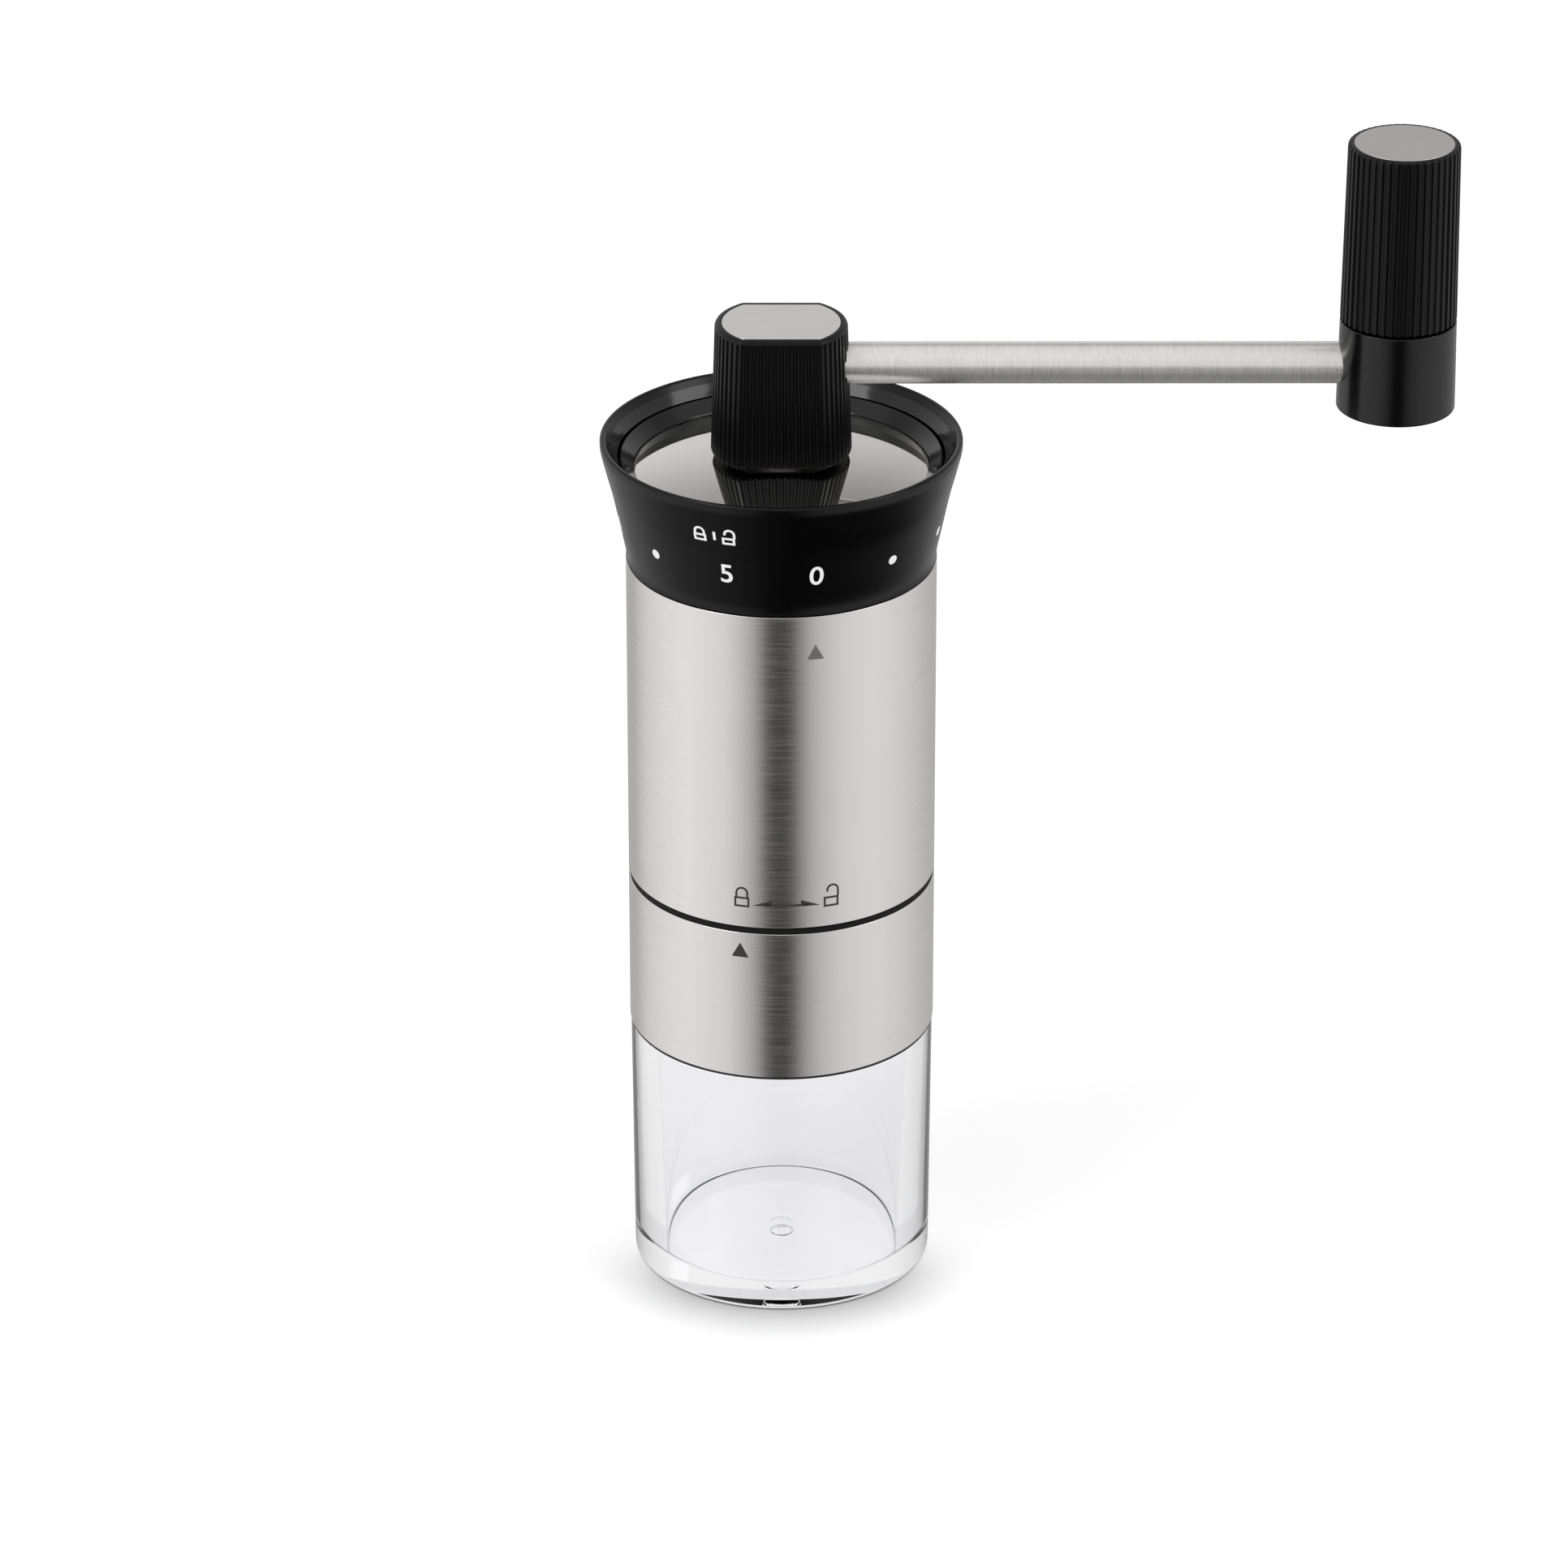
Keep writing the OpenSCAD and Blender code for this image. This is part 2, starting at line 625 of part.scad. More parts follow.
module inner_frame() {
    color(black)
        difference() {
            union() {
                rotate_extrude()
                    polygon([
                        [skirt_in_r, z_skirt], [skirt_r, z_skirt],
                        [skirt_r, z_sleeve], [frame_r, z_sleeve],
                        [frame_r, z_ring_seat], [head_r, z_ring_seat],
                        [head_r, z_head], [hopper_r, z_head], [hopper_r, z_seat],
                        [seat_in_r, z_seat], [seat_in_r, z_sleeve + chute_h / 2],
                        [skirt_in_r, z_sleeve - chute_h / 2]]);
                for (i = [0 : arms - 1])
                    arc_block(lug_r, (skirt_r + skirt_in_r) / 2, z_skirt, z_skirt + lug_h,
                        locked_at + i * arm_step, lug_span);
                arc_block((head_r + hopper_r) / 2, ring_thread_r, z_head - stop_h, z_head,
                    tab_at, tab_span);
            }
            tube(head_r + 1, clip_groove_r, z_ring_clip, z_ring_clip_top);
            for (i = [0 : arms - 1])
                rotate([0, 0, i * arm_step + 30])
                    intersection() {
                        translate([0, -key_w / 2 - guide_gap, z_adjuster - adjust_travel - move_gap])
                            cube([slot_r + 1, key_w + 2 * guide_gap, head_h + 1]);
                        cylinder(r = slot_r, h = z_rim);
                    }
        }
}

module ring_burr() {
    r_low = burr_r - burr_wall;
    r_high = cone_r - cone_slope * (burr_h - cone_lift) + throat_gap;
    color([0.93, 0.92, 0.88])
        difference() {
            rotate_extrude()
                polygon([
                    [r_low, z_burr], [burr_r, z_burr], [burr_r, z_burr_top],
                    [r_high, z_burr_top], [r_low, z_burr + burr_foot_h]]);
            for (i = [0 : ring_teeth - 1])
                rotate([0, 0, i * 360 / ring_teeth])
                    translate([0, 0, z_burr + burr_foot_h / 2])
                        rotate([tooth_slant, 0, 0])
                            cube([min(r_low, r_high) + tooth_depth, tooth_depth, 2 * burr_h]);
        }
}

module bean_funnel() {
    lip_r = burr_r - funnel_lip;
    color(black)
        difference() {
            union() {
                rotate_extrude()
                    polygon([
                        [burr_r + fit, z_seat + fit], [hopper_r - fit, z_seat + fit],
                        [hopper_r - fit, z_funnel_top], [hopper_r - funnel_edge, z_funnel_top],
                        [lip_r, z_burr_top + funnel_lip_h], [lip_r, z_burr_top + fit],
                        [burr_r + fit, z_burr_top + fit]]);
                for (i = [0 : arms - 1])
                    rotate([0, 0, i * arm_step + 30])
                        translate([bridge_screw_at, 0, z_burr_top - funnel_lip_h])
                            cylinder(r = screw_post_r, h = funnel_h + funnel_lip_h);
            }
            bridge_screw_holes(
                bridge_screw_d / 2 + fit,
                z_funnel_top - bridge_screw_l,
                bridge_screw_l + 1);
        }
}

// The bores that the bridge screws go through
module bridge_screw_holes(r, z0, h) {
    for (i = [0 : arms - 1])
        rotate([0, 0, i * arm_step + 30])
            translate([bridge_screw_at, 0, z0]) cylinder(r = r, h = h);
}

module lower_bridge() {
    color(dark_steel)
        difference() {
            union() {
                tube(hopper_r - fit, hopper_r - fit - bridge_rim, z_bridge, z_bridge_top);
                translate([0, 0, z_bridge]) cylinder(r = bearing_r, h = bridge_t);
                spokes(hopper_r - bridge_rim, z_bridge, z_bridge_top);
            }
            translate([0, 0, z_bridge - 1]) cylinder(r = hub_bore, h = bridge_t + 2);
            bridge_screw_holes(bridge_screw_d / 2 + fit, z_bridge - 1, bridge_t + 2);
        }
}

module lower_bush() {
    color([0.75, 0.6, 0.3])
        difference() {
            union() {
                translate([0, 0, z_bridge - bush_tail])
                    cylinder(r = bush_r, h = bush_tail + bridge_t + bush_flange_t);
                translate([0, 0, z_bridge_top + fit])
                    cylinder(r = bush_flange_r, h = bush_flange_t);
            }
            cylinder(r = bush_bore, h = z_head);
        }
}

module bridge_screws() {
    color(steel)
        for (i = [0 : arms - 1])
            rotate([0, 0, i * arm_step + 30])
                translate([bridge_screw_at, 0, 0]) {
                    translate([0, 0, z_bridge_top - bridge_screw_l])
                        cylinder(d = bridge_screw_d, h = bridge_screw_l + screw_head_h / 2);
                    translate([0, 0, z_bridge_top + fit])
                        cylinder(r = screw_post_r, h = screw_head_h);
                }
}

module ring_clip() {
    color(dark_steel)
        clip(clip_groove_r + fit, ring_clip_r, z_ring_clip + 2 * fit, ring_clip_t);
}

module grind_ring() {
    color(black) {
        difference() {
            rotate_extrude()
                polygon(concat(
                    [[ring_bore, z_ring], [skin_r, z_ring], [skin_r, z_ring + ring_foot_h]],
                    [for (p = flare_curve) [skin_r + ring_flare * p[1], z_ring + ring_h * p[0]]],
                    [[rim_r, z_rim - 2 * rim_edge], [rim_r - rim_edge, z_rim],
                    [rim_r - lip_w, z_rim],
                    [well_r + bevel_foot, z_rim - bevel_h], [well_r, z_lid_edge],
                    [well_r, z_ring_floor], [ring_thread_r, z_ring_floor],
                    [ring_thread_r, z_ring_flange], [ring_bore, z_ring_flange]]));
            tube(ring_clip_r + move_gap, ring_bore - 1,
                z_ring_clip - guide_gap, z_ring_clip_top + guide_gap);
        }
        for (i = [0 : arms - 1])
            arc_block(well_r + bevel_foot, ring_lug_r, z_ring_lug, z_ring_lug + lid_lug,
                i * arm_step - lid_turn, lid_lug_span);
        arc_block(hopper_r - move_gap, ring_thread_r + fit, z_keys_top + move_gap,
            (z_ring_flange + z_ring_floor) / 2, tab_at - tab_span - stop_slack, tab_span);
    }
}

module adjuster() {
    crests = floor((z_adjuster_top - z_keys_top) / thread_pitch);
    color(dark_steel)
        difference() {
            union() {
                tube(hopper_r - move_gap - fit, adjuster_bore, z_adjuster, z_keys_top);
                tube(thread_r - thread_depth, adjuster_bore, z_adjuster, z_adjuster_top);
                for (i = [0 : crests - 1])
                    tube(thread_r, adjuster_rim_r, z_keys_top + (i + 0.3) * thread_pitch,
                        z_keys_top + (i + 0.8) * thread_pitch);
                translate([0, 0, z_adjuster]) cylinder(r = bearing_r, h = adjuster_hub_h);
                spokes(adjuster_rim_r, z_adjuster, z_adjuster + adjuster_arm_h);
                for (i = [0 : arms - 1])
                    rotate([0, 0, i * arm_step + 30])
                        intersection() {
                            translate([adjuster_rim_r, -key_w / 2, z_adjuster])
                                cube([key_r, key_w, z_keys_top - z_adjuster]);
                            cylinder(r = key_r, h = z_rim);
                        }
            }
            translate([0, 0, z_adjuster - 1]) cylinder(r = hub_bore, h = adjuster_hub_h + 2);
        }
}

module upper_bush() {
    color([0.75, 0.6, 0.3])
        difference() {
            union() {
                translate([0, 0, z_adjuster])
                    cylinder(r = bush_r, h = adjuster_hub_h + bush_flange_t);
                translate([0, 0, z_adjuster_hub + fit])
                    cylinder(r = bush_flange_r, h = bush_flange_t);
            }
            cylinder(r = bush_bore, h = z_rim);
        }
}

module drive_shaft() {
    z_round_end = z_high_clip + clip_t + 1;
    color(steel)
        difference() {
            union() {
                translate([0, 0, z_cone]) cylinder(r = shaft_r, h = z_round_end - z_cone);
                translate([0, 0, z_cone_top + fit]) cylinder(r = shaft_r + shoulder, h = shoulder);
                hex_bar(hex_af, z_round_end - 1, z_shaft_top);
                translate([0, 0, z_cone - washer_t - nut_h - stud_end])
                    cylinder(d = stud_d, h = washer_t + nut_h + 2 * stud_end);
            }
            for (z = [z_low_clip, z_high_clip])
                tube(shaft_r + 1, clip_seat_r, z - fit, z + clip_t + fit);
            translate([-shaft_r, shaft_flat, z_cone - 1])
                cube([shaft_d, shaft_r, cone_h + 1 + fit / 2]);
        }
}

module shaft_clips() {
    color(dark_steel)
        for (z = [z_low_clip, z_high_clip])
            clip(clip_seat_r + fit, shaft_r + clip_reach, z, clip_t);
}

module cone_burr() {
    color([0.93, 0.92, 0.88])
        difference() {
            translate([0, 0, z_cone]) cylinder(r1 = cone_r, r2 = cone_top_d / 2, h = cone_h);
            for (i = [0 : cone_teeth - 1])
                rotate([0, 0, i * 360 / cone_teeth])
                    translate([cone_r - tooth_start * cone_slope, 0, z_cone + tooth_start])
                        rotate([-tooth_slant, -atan(cone_slope), 0])
                            translate([-tooth_depth, -tooth_depth, 0])
                                cube([3 * tooth_depth, 2 * tooth_depth, cone_h * 1.6]);
            intersection() {
                translate([0, 0, z_cone - 1]) cylinder(r = shaft_r + fit, h = cone_h + 2);
                translate([-shaft_d, -shaft_d, z_cone - 2])
                    cube([2 * shaft_d, shaft_d + shaft_flat + fit, cone_h + 4]);
            }
        }
}

module burr_washer() {
    color(steel)
        tube(washer_d / 2, stud_d / 2 + fit, z_cone - fit - washer_t, z_cone - fit);
}

module burr_nut() {
    z_top = z_cone - 2 * fit - washer_t;
    color(steel)
        difference() {
            hex_bar(nut_af, z_top - nut_h, z_top);
            translate([0, 0, z_top - nut_h - 1]) cylinder(r = stud_d / 2 + fit, h = nut_h + 2);
        }
}

module lid_seal() {
    color([0.2, 0.2, 0.2]) tube(seal_r, seal_r - seal_w, z_seal, z_seal + seal_t);
}

module lid_frame() {
    color(black) {
        difference() {
            union() {
                rotate_extrude()
                    polygon([
                        [lid_rim_r, z_lid], [lid_neck_r, z_lid],
                        [lid_neck_r, z_lid_flange], [lid_r, z_lid_flange],
                        [lid_r, z_lid_edge - lid_edge], [lid_r - lid_edge, z_lid_edge],
                        [plate_r + fit, z_plate + lid_edge], [plate_r + fit, z_plate_seat],
                        [lid_rim_r, z_plate_seat]]);
                intersection() {
                    translate([0, 0, z_dome_centre])
                        sphere(r = dome_r - plate_t - fit, $fn = 180);
                    translate([0, 0, z_lid]) cylinder(r = plate_r, h = z_rim - z_lid);
                }
            }
            difference() {
                translate([0, 0, z_dome_centre])
                    sphere(r = dome_r - plate_t - fit - lid_wall, $fn = 180);
                translate([0, 0, z_lid_bush]) cylinder(r = lid_boss_r, h = z_rim - z_lid_bush);
                tube(well_r, lid_rim_r, z_lid - 1, z_rim);
            }
            translate([0, 0, z_lid - 1]) cylinder(r = lid_bush_r + fit, h = z_rim - z_lid);
        }
        for (i = [0 : arms - 1])
            arc_block(lid_neck_r + lid_lug, lid_neck_r - lid_lug / 2, z_lid, z_lid + lid_lug,
                i * arm_step, lid_lug_span);
    }
}

module lid_plate() {
    color([0.8, 0.8, 0.79])
        difference() {
            intersection() {
                translate([0, 0, z_dome_centre]) sphere(r = dome_r, $fn = 180);
                translate([0, 0, z_plate - plate_t]) cylinder(r = plate_r, h = 2 * dome_rise);
            }
            translate([0, 0, z_dome_centre]) sphere(r = dome_r - plate_t, $fn = 180);
            translate([0, 0, z_lid]) cylinder(r = lid_bush_r + fit, h = z_rim - z_lid);
        }
}

module lid_bush() {
    color([0.85, 0.85, 0.82]) tube(lid_bush_r, lid_bush_bore, z_lid_bush, z_dome - 3 * fit);
}

module drive_stem() {
    color(dark_steel)
        difference() {
            union() {
                translate([0, 0, z_stem]) cylinder(r = stem_r, h = z_stem_flange - z_stem + 1);
                two_flat_bar(core_r, core_flat, z_stem_flange, z_stem_flange + stem_flange_t);
            }
            hex_bar(hex_af + 4 * fit, z_stem - 1, z_shaft_top + 1);
            tube(stem_r + 1, stem_clip_seat, z_stem_clip - fit, z_stem_clip + clip_t + fit);
            for (x = [-hub_screw_x, hub_screw_x])
                translate([x, 0, z_stem_flange - 1])
                    cylinder(r = hub_screw_d / 2 + fit, h = stem_flange_t + 2);
        }
}

module stem_clip() {
    color(dark_steel) clip(stem_clip_seat + fit, stem_clip_r, z_stem_clip, clip_t);
}

module hub_screws() {
    color(steel)
        for (x = [-hub_screw_x, hub_screw_x])
            translate([x, 0, z_stem_flange - fit]) {
                translate([0, 0, -hub_screw_head_h])
                    cylinder(r = hub_screw_d / 2 + hub_screw_lip, h = hub_screw_head_h);
                translate([0, 0, -hub_screw_head_h / 2])
                    cylinder(d = hub_screw_d,
                        h = hub_screw_head_h / 2 + stem_flange_t + hub_screw_bite);
            }
}

module hub_core() {
    color(dark_steel)
        difference() {
            two_flat_bar(core_r, core_flat, z_core, z_core_top);
            translate([arm_in_x - fit, 0, z_arm])
                rotate([0, 90, 0]) cylinder(r = arm_r + fit, h = hub_d);
            translate([0, 0, z_arm]) cylinder(r = grub_d / 2 + fit, h = hub_h);
            for (x = [-hub_screw_x, hub_screw_x])
                translate([x, 0, z_core - 1])
                    cylinder(r = hub_screw_d / 2 + fit, h = hub_screw_bite + 1 + 4 * fit);
        }
}

// One straight groove cutter on the X axis, leaning in by an angle
module groove(r, lean, h) {
    translate([r, 0, 0])
        rotate([0, -lean, 0])
            translate([-groove_depth, -groove_w / 2, -1]) cube([groove_depth + 1, groove_w, h + 1]);
}

// Grooves around a two-flat hub, along both arcs and both flats
module hub_grooves() {
    lean = atan(hub_draft / hub_h);
    flat_lean = atan(hub_flat_draft / hub_h);
    half_arc = asin(hub_flat / hub_r);
    on_arc = floor(2 * half_arc * PI / 180 * hub_r / rib_pitch);
    flat_len = 2 * sqrt(hub_r * hub_r - hub_flat * hub_flat);
    on_flat = floor(flat_len / rib_pitch);
    for (side = [0, 180])
        rotate([0, 0, side]) {
            for (i = [0 : on_arc - 1])
                rotate([0, 0, (i - (on_arc - 1) / 2) * 2 * half_arc / on_arc])
                    translate([0, 0, z_hub]) groove(hub_r, lean, hub_h - rib_end);
            for (i = [0 : on_flat - 1])
                translate([(i - (on_flat - 1) / 2) * flat_len / on_flat, 0, z_hub])
                    rotate([0, 0, 90]) groove(hub_flat, flat_lean, hub_h - rib_end);
        }
}

module hub_shell() {
    color(rubber)
        difference() {
            intersection() {
                union() {
                    translate([0, 0, z_hub])
                        cylinder(r1 = hub_r, r2 = hub_top_r, h = hub_h - hub_edge_h);
                    translate([0, 0, z_hub_top - hub_edge_h])
                        cylinder(r1 = hub_top_r, r2 = hub_top_r - hub_edge_w, h = hub_edge_h);
                }
                translate([-hub_r, 0, 0])
                    rotate([90, 0, 90])
                        linear_extrude(height = hub_d)
                            polygon([
                                [-hub_flat, z_hub], [hub_flat, z_hub],
                                [hub_top_flat, z_hub_top], [-hub_top_flat, z_hub_top]]);
            }
            hub_grooves();
            two_flat_bar(hub_in_r, hub_in_flat, z_hub - 1, z_hub_roof);
            two_flat_bar(hub_top_r - hub_border + fit, hub_top_flat - hub_border + fit,
                z_hub_top - hub_plate_t, z_hub_top + 1);
            translate([0, 0, z_arm]) rotate([0, 90, 0]) cylinder(r = arm_r + fit, h = hub_d);
        }
}

module hub_plate() {
    color(steel)
        two_flat_bar(hub_top_r - hub_border, hub_top_flat - hub_border,
            z_hub_top - hub_plate_t + fit, z_hub_top);
}

module crank_arm() {
    color(steel)
        difference() {
            translate([arm_in_x, 0, z_arm])
                rotate([0, 90, 0])
                    difference() {
                        cylinder(r = arm_r, h = arm_end_x - arm_in_x);
                        translate([0, 0, -1])
                            cylinder(r = arm_bore, h = arm_end_x - arm_in_x + 2);
                    }
            translate([0, 0, z_arm]) cylinder(r = grub_d / 2 + fit, h = arm_d);
        }
}

module grub_screw() {
    color(dark_steel)
        difference() {
            translate([0, 0, z_arm + arm_bore - arm_wall])
                cylinder(d = grub_d, h = z_core_top - z_arm - arm_bore + arm_wall / 2);
            hex_bar(grub_d / 2, z_core_top - grub_d / 2, z_core_top + 1);
        }
}

module knob_collar() {
    color(black)
        translate([crank_r, 0, 0])
            difference() {
                union() {
                    translate([0, 0, z_knob + knob_edge])
                        cylinder(r1 = knob_r, r2 = collar_top_r, h = knob_collar_h - knob_edge);
                    translate([0, 0, z_knob])
                        cylinder(r1 = knob_r - knob_edge, r2 = knob_r, h = knob_edge);
                }
                translate([-knob_d, 0, z_arm]) rotate([0, 90, 0])
                    cylinder(r = arm_r + fit, h = knob_d - (crank_r - arm_end_x) + fit);
                translate([0, 0, z_axle]) cylinder(r = axle_r + fit, h = knob_h);
            }
}

module knob_axle() {
    color(steel)
        translate([crank_r, 0, 0])
            difference() {
                union() {
                    translate([0, 0, z_axle + fit])
                        cylinder(r = axle_r, h = z_axle_head - z_axle);
                    translate([0, 0, z_axle_head]) cylinder(d = axle_head_d, h = axle_head_h);
                }
                hex_bar(axle_d * 0.6, z_axle_head + axle_head_h / 3, z_knob_top);
            }
}

module knob_core() {
    color(black)
        translate([crank_r, 0, 0])
            difference() {
                translate([0, 0, z_grip]) cylinder(r = knob_core_r - fit, h = z_core_end - z_grip);
                translate([0, 0, z_grip - 1]) cylinder(r = axle_r + running_gap, h = knob_h);
                translate([0, 0, z_axle_head - 2 * fit])
                    cylinder(r = axle_head_d / 2 + move_gap, h = knob_h);
            }
}

module knob_grip() {
    lean = atan(knob_draft / knob_h);
    grip_h = z_knob_top - z_grip - 2 * fit;
    color(rubber)
        translate([crank_r, 0, 0])
            difference() {
                union() {
                    translate([0, 0, z_grip])
                        cylinder(r1 = grip_foot_r, r2 = grip_top_r, h = grip_h - knob_edge);
                    translate([0, 0, z_grip + grip_h - knob_edge])
                        cylinder(r1 = grip_top_r, r2 = grip_top_r - knob_edge, h = knob_edge);
                }
                translate([0, 0, z_grip - 1]) cylinder(r = knob_core_r, h = knob_h);
                translate([0, 0, z_core_end]) cylinder(r = disc_r + fit, h = disc_t + 1);
                for (i = [0 : knob_ribs - 1])
                    rotate([0, 0, i * 360 / knob_ribs])
                        translate([0, 0, z_grip])
                            groove(grip_foot_r, lean, grip_h - rib_end);
            }
}

module knob_disc() {
    color(steel)
        translate([crank_r, 0, z_core_end + fit]) cylinder(r = disc_r, h = disc_t);
}

cup();
collar();
collar_liner();
joint_seal();
body_sleeve();
inner_frame();
ring_burr();
bean_funnel();
lower_bridge();
lower_bush();
bridge_screws();
ring_clip();
grind_ring();
adjuster();
upper_bush();
drive_shaft();
shaft_clips();
cone_burr();
burr_washer();
burr_nut();
lid_seal();
lid_frame();
lid_plate();
lid_bush();
drive_stem();
stem_clip();
hub_screws();
hub_core();
hub_shell();
hub_plate();
crank_arm();
grub_screw();
knob_collar();
knob_axle();
knob_core();
knob_grip();
knob_disc();
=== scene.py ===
import math

import bmesh
import bpy
from mathutils import Matrix, Vector


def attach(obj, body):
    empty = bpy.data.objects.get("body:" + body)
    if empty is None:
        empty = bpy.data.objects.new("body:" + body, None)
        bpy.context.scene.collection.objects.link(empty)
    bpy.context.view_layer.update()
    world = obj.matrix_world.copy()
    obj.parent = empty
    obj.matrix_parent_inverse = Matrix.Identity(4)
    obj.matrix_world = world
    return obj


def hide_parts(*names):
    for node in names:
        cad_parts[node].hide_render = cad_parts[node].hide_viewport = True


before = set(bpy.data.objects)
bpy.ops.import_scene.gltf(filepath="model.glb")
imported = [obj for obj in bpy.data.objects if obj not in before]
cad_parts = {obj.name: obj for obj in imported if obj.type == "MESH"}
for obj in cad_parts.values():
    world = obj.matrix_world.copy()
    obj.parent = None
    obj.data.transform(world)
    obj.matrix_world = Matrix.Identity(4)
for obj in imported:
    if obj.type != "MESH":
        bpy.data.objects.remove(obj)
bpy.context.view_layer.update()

scene = bpy.context.scene
MM = 0.001          # every shape below is drawn in millimetres
ROUND = 192         # facets round the barrel

# Sizes in millimetres; heights are above the table
BARREL = 27.5       # radius of the sleeve and the collar
TUBE_BORE = 26.8    # their inside
CUP_NECK = 25.5     # radius of the cup inside the collar
CRANK = 107.5       # from the grinder's axis to the knob's
ARM_HEIGHT = 174.6
ARM = 3.7           # radius of the crank's tube
ARM_BORE = 2.7
HUB_FOOT, HUB_TOP = 158.4, 182.3
HUB_PLATE_SEAT = 181.4
HUB_PLATE = 10.4    # radius of the plate on the hub
HUB_PLATE_HALF = 8.0
GRIP_FOOT, GRIP_TOP = 183.2, 215.4
GRIP_BORE = 7.9
DISC = 8.7          # radius of the disc on the knob
DISC_SEAT = 213.9
KNOB = 10.4         # radius of the knob's foot
RIM, RIM_TOP = 31.9, 160.5
WELL, WELL_FLOOR = 28.85, 148.6
RING_BORE = 26.45
TAB_FACE = 146.3    # underside of the ring's inner flange
DOME = 126.535      # the lid plate's curve
DOME_TOP = 157.8
LID_EDGE = 26.0
LID_HOLE = 6.3
LID_SHEET = 0.6
FLARE = [(BARREL, 138.3), (BARREL, 139.9), (28.56, 144.96), (29.83, 150.95), (30.71, 154.28),
         (31.5, 157.39), (31.86, 158.95), (RIM, 159.9)]


# ---------------------------------------------------------------- nodes

def maths(nodes, links, operation, *values):
    """A calculation of that kind, on sockets or plain numbers."""
    made = nodes.new("ShaderNodeMath")
    made.operation = operation
    for socket, value in zip(made.inputs, values):
        if isinstance(value, (int, float)):
            socket.default_value = value
        else:
            links.new(value, socket)
    return made.outputs["Value"]


def stretched(nodes, links, source, low, high, at_low, at_high, soft=True):
    """The source between low and high, mapped to at_low and at_high and held beyond them."""
    spread = nodes.new("ShaderNodeMapRange")
    spread.interpolation_type = "SMOOTHSTEP" if soft else "LINEAR"
    for socket, value in (("From Min", low), ("From Max", high), ("To Min", at_low), ("To Max", at_high)):
        spread.inputs[socket].default_value = value
    links.new(source, spread.inputs["Value"])
    return spread.outputs["Result"]


def colour_mix(nodes, links, factor, a, b, blend="MIX"):
    """Two colours mixed; each value is a socket, a colour or a number."""
    mix = nodes.new("ShaderNodeMix")
    mix.data_type = "RGBA"
    mix.blend_type = blend
    for socket, value in (("Factor", factor), ("A", a), ("B", b)):
        if isinstance(value, bpy.types.NodeSocket):
            links.new(value, mix.inputs[socket])
        else:
            mix.inputs[socket].default_value = value
    return mix.outputs["Result"]


# ---------------------------------------------------------------- finishes

def new_finish(name, colour, rough, metal, shine):
    """A finish with one plain shader; shine sets further sockets by name."""
    finish = bpy.data.materials.new(name)
    finish.use_nodes = True
    shader = finish.node_tree.nodes["Principled BSDF"]
    shader.inputs["Base Color"].default_value = (*colour, 1)
    shader.inputs["Roughness"].default_value = rough
    shader.inputs["Metallic"].default_value = metal
    for socket, value in shine.items():
        shader.inputs[socket].default_value = value
    return finish, finish.node_tree.nodes, finish.node_tree.links, shader


def pattern(nodes, links, per_mm, detail=4.0):
    """Noise with so many repeats per millimetre along x, y and z."""
    place = nodes.new("ShaderNodeTexCoord")
    spread = nodes.new("ShaderNodeMapping")
    spread.vector_type = "POINT"
    spread.inputs["Scale"].default_value = [n / MM for n in per_mm]
    noise = nodes.new("ShaderNodeTexNoise")
    noise.inputs["Scale"].default_value = 1
    noise.inputs["Detail"].default_value = detail
    noise.inputs["Roughness"].default_value = 0.6
    links.new(place.outputs["Object"], spread.inputs["Vector"])
    links.new(spread.outputs["Vector"], noise.inputs["Vector"])
    return noise.outputs["Fac"]


def ranged(nodes, links, source, low, high):
    """The middle range of a noise stretched between low and high."""
    return stretched(nodes, links, source, 0.3, 0.7, low, high, soft=False)


def textured(name, colour, rough, metal=0.0, per_mm=(3, 3, 3), tone=0.0, uneven=0.0, relief=0.0,
             cloud=0.0, detail=4.0, brushed_round=None, **shine):
    """A finish whose fine pattern shifts its tone and roughness and lifts it by relief in millimetres.
    cloud is a slow, broad change of tone. brushed_round is the axis that brush marks run round."""
    finish, nodes, links, shader = new_finish(name, colour, rough, metal, shine)
    fine = pattern(nodes, links, per_mm, detail)
    if tone or cloud:
        broad = pattern(nodes, links, (0.06, 0.06, 0.06), 2.0)
        both = maths(nodes, links, "ADD", ranged(nodes, links, fine, 1 - tone, 1 + tone),
                     ranged(nodes, links, broad, -cloud, cloud))
        tint = nodes.new("ShaderNodeVectorMath")
        tint.operation = "SCALE"
        tint.inputs[0].default_value = colour
        links.new(both, tint.inputs["Scale"])
        links.new(tint.outputs["Vector"], shader.inputs["Base Color"])
    if uneven:
        links.new(ranged(nodes, links, fine, rough - uneven, rough + uneven), shader.inputs["Roughness"])
    if relief:
        bump = nodes.new("ShaderNodeBump")
        bump.inputs["Strength"].default_value = 1
        bump.inputs["Distance"].default_value = relief * MM
        links.new(fine, bump.inputs["Height"])
        links.new(bump.outputs["Normal"], shader.inputs["Normal"])
    if brushed_round:
        turn = nodes.new("ShaderNodeTangent")
        turn.direction_type = "RADIAL"
        turn.axis = brushed_round
        links.new(turn.outputs["Tangent"], shader.inputs["Tangent"])
    return finish


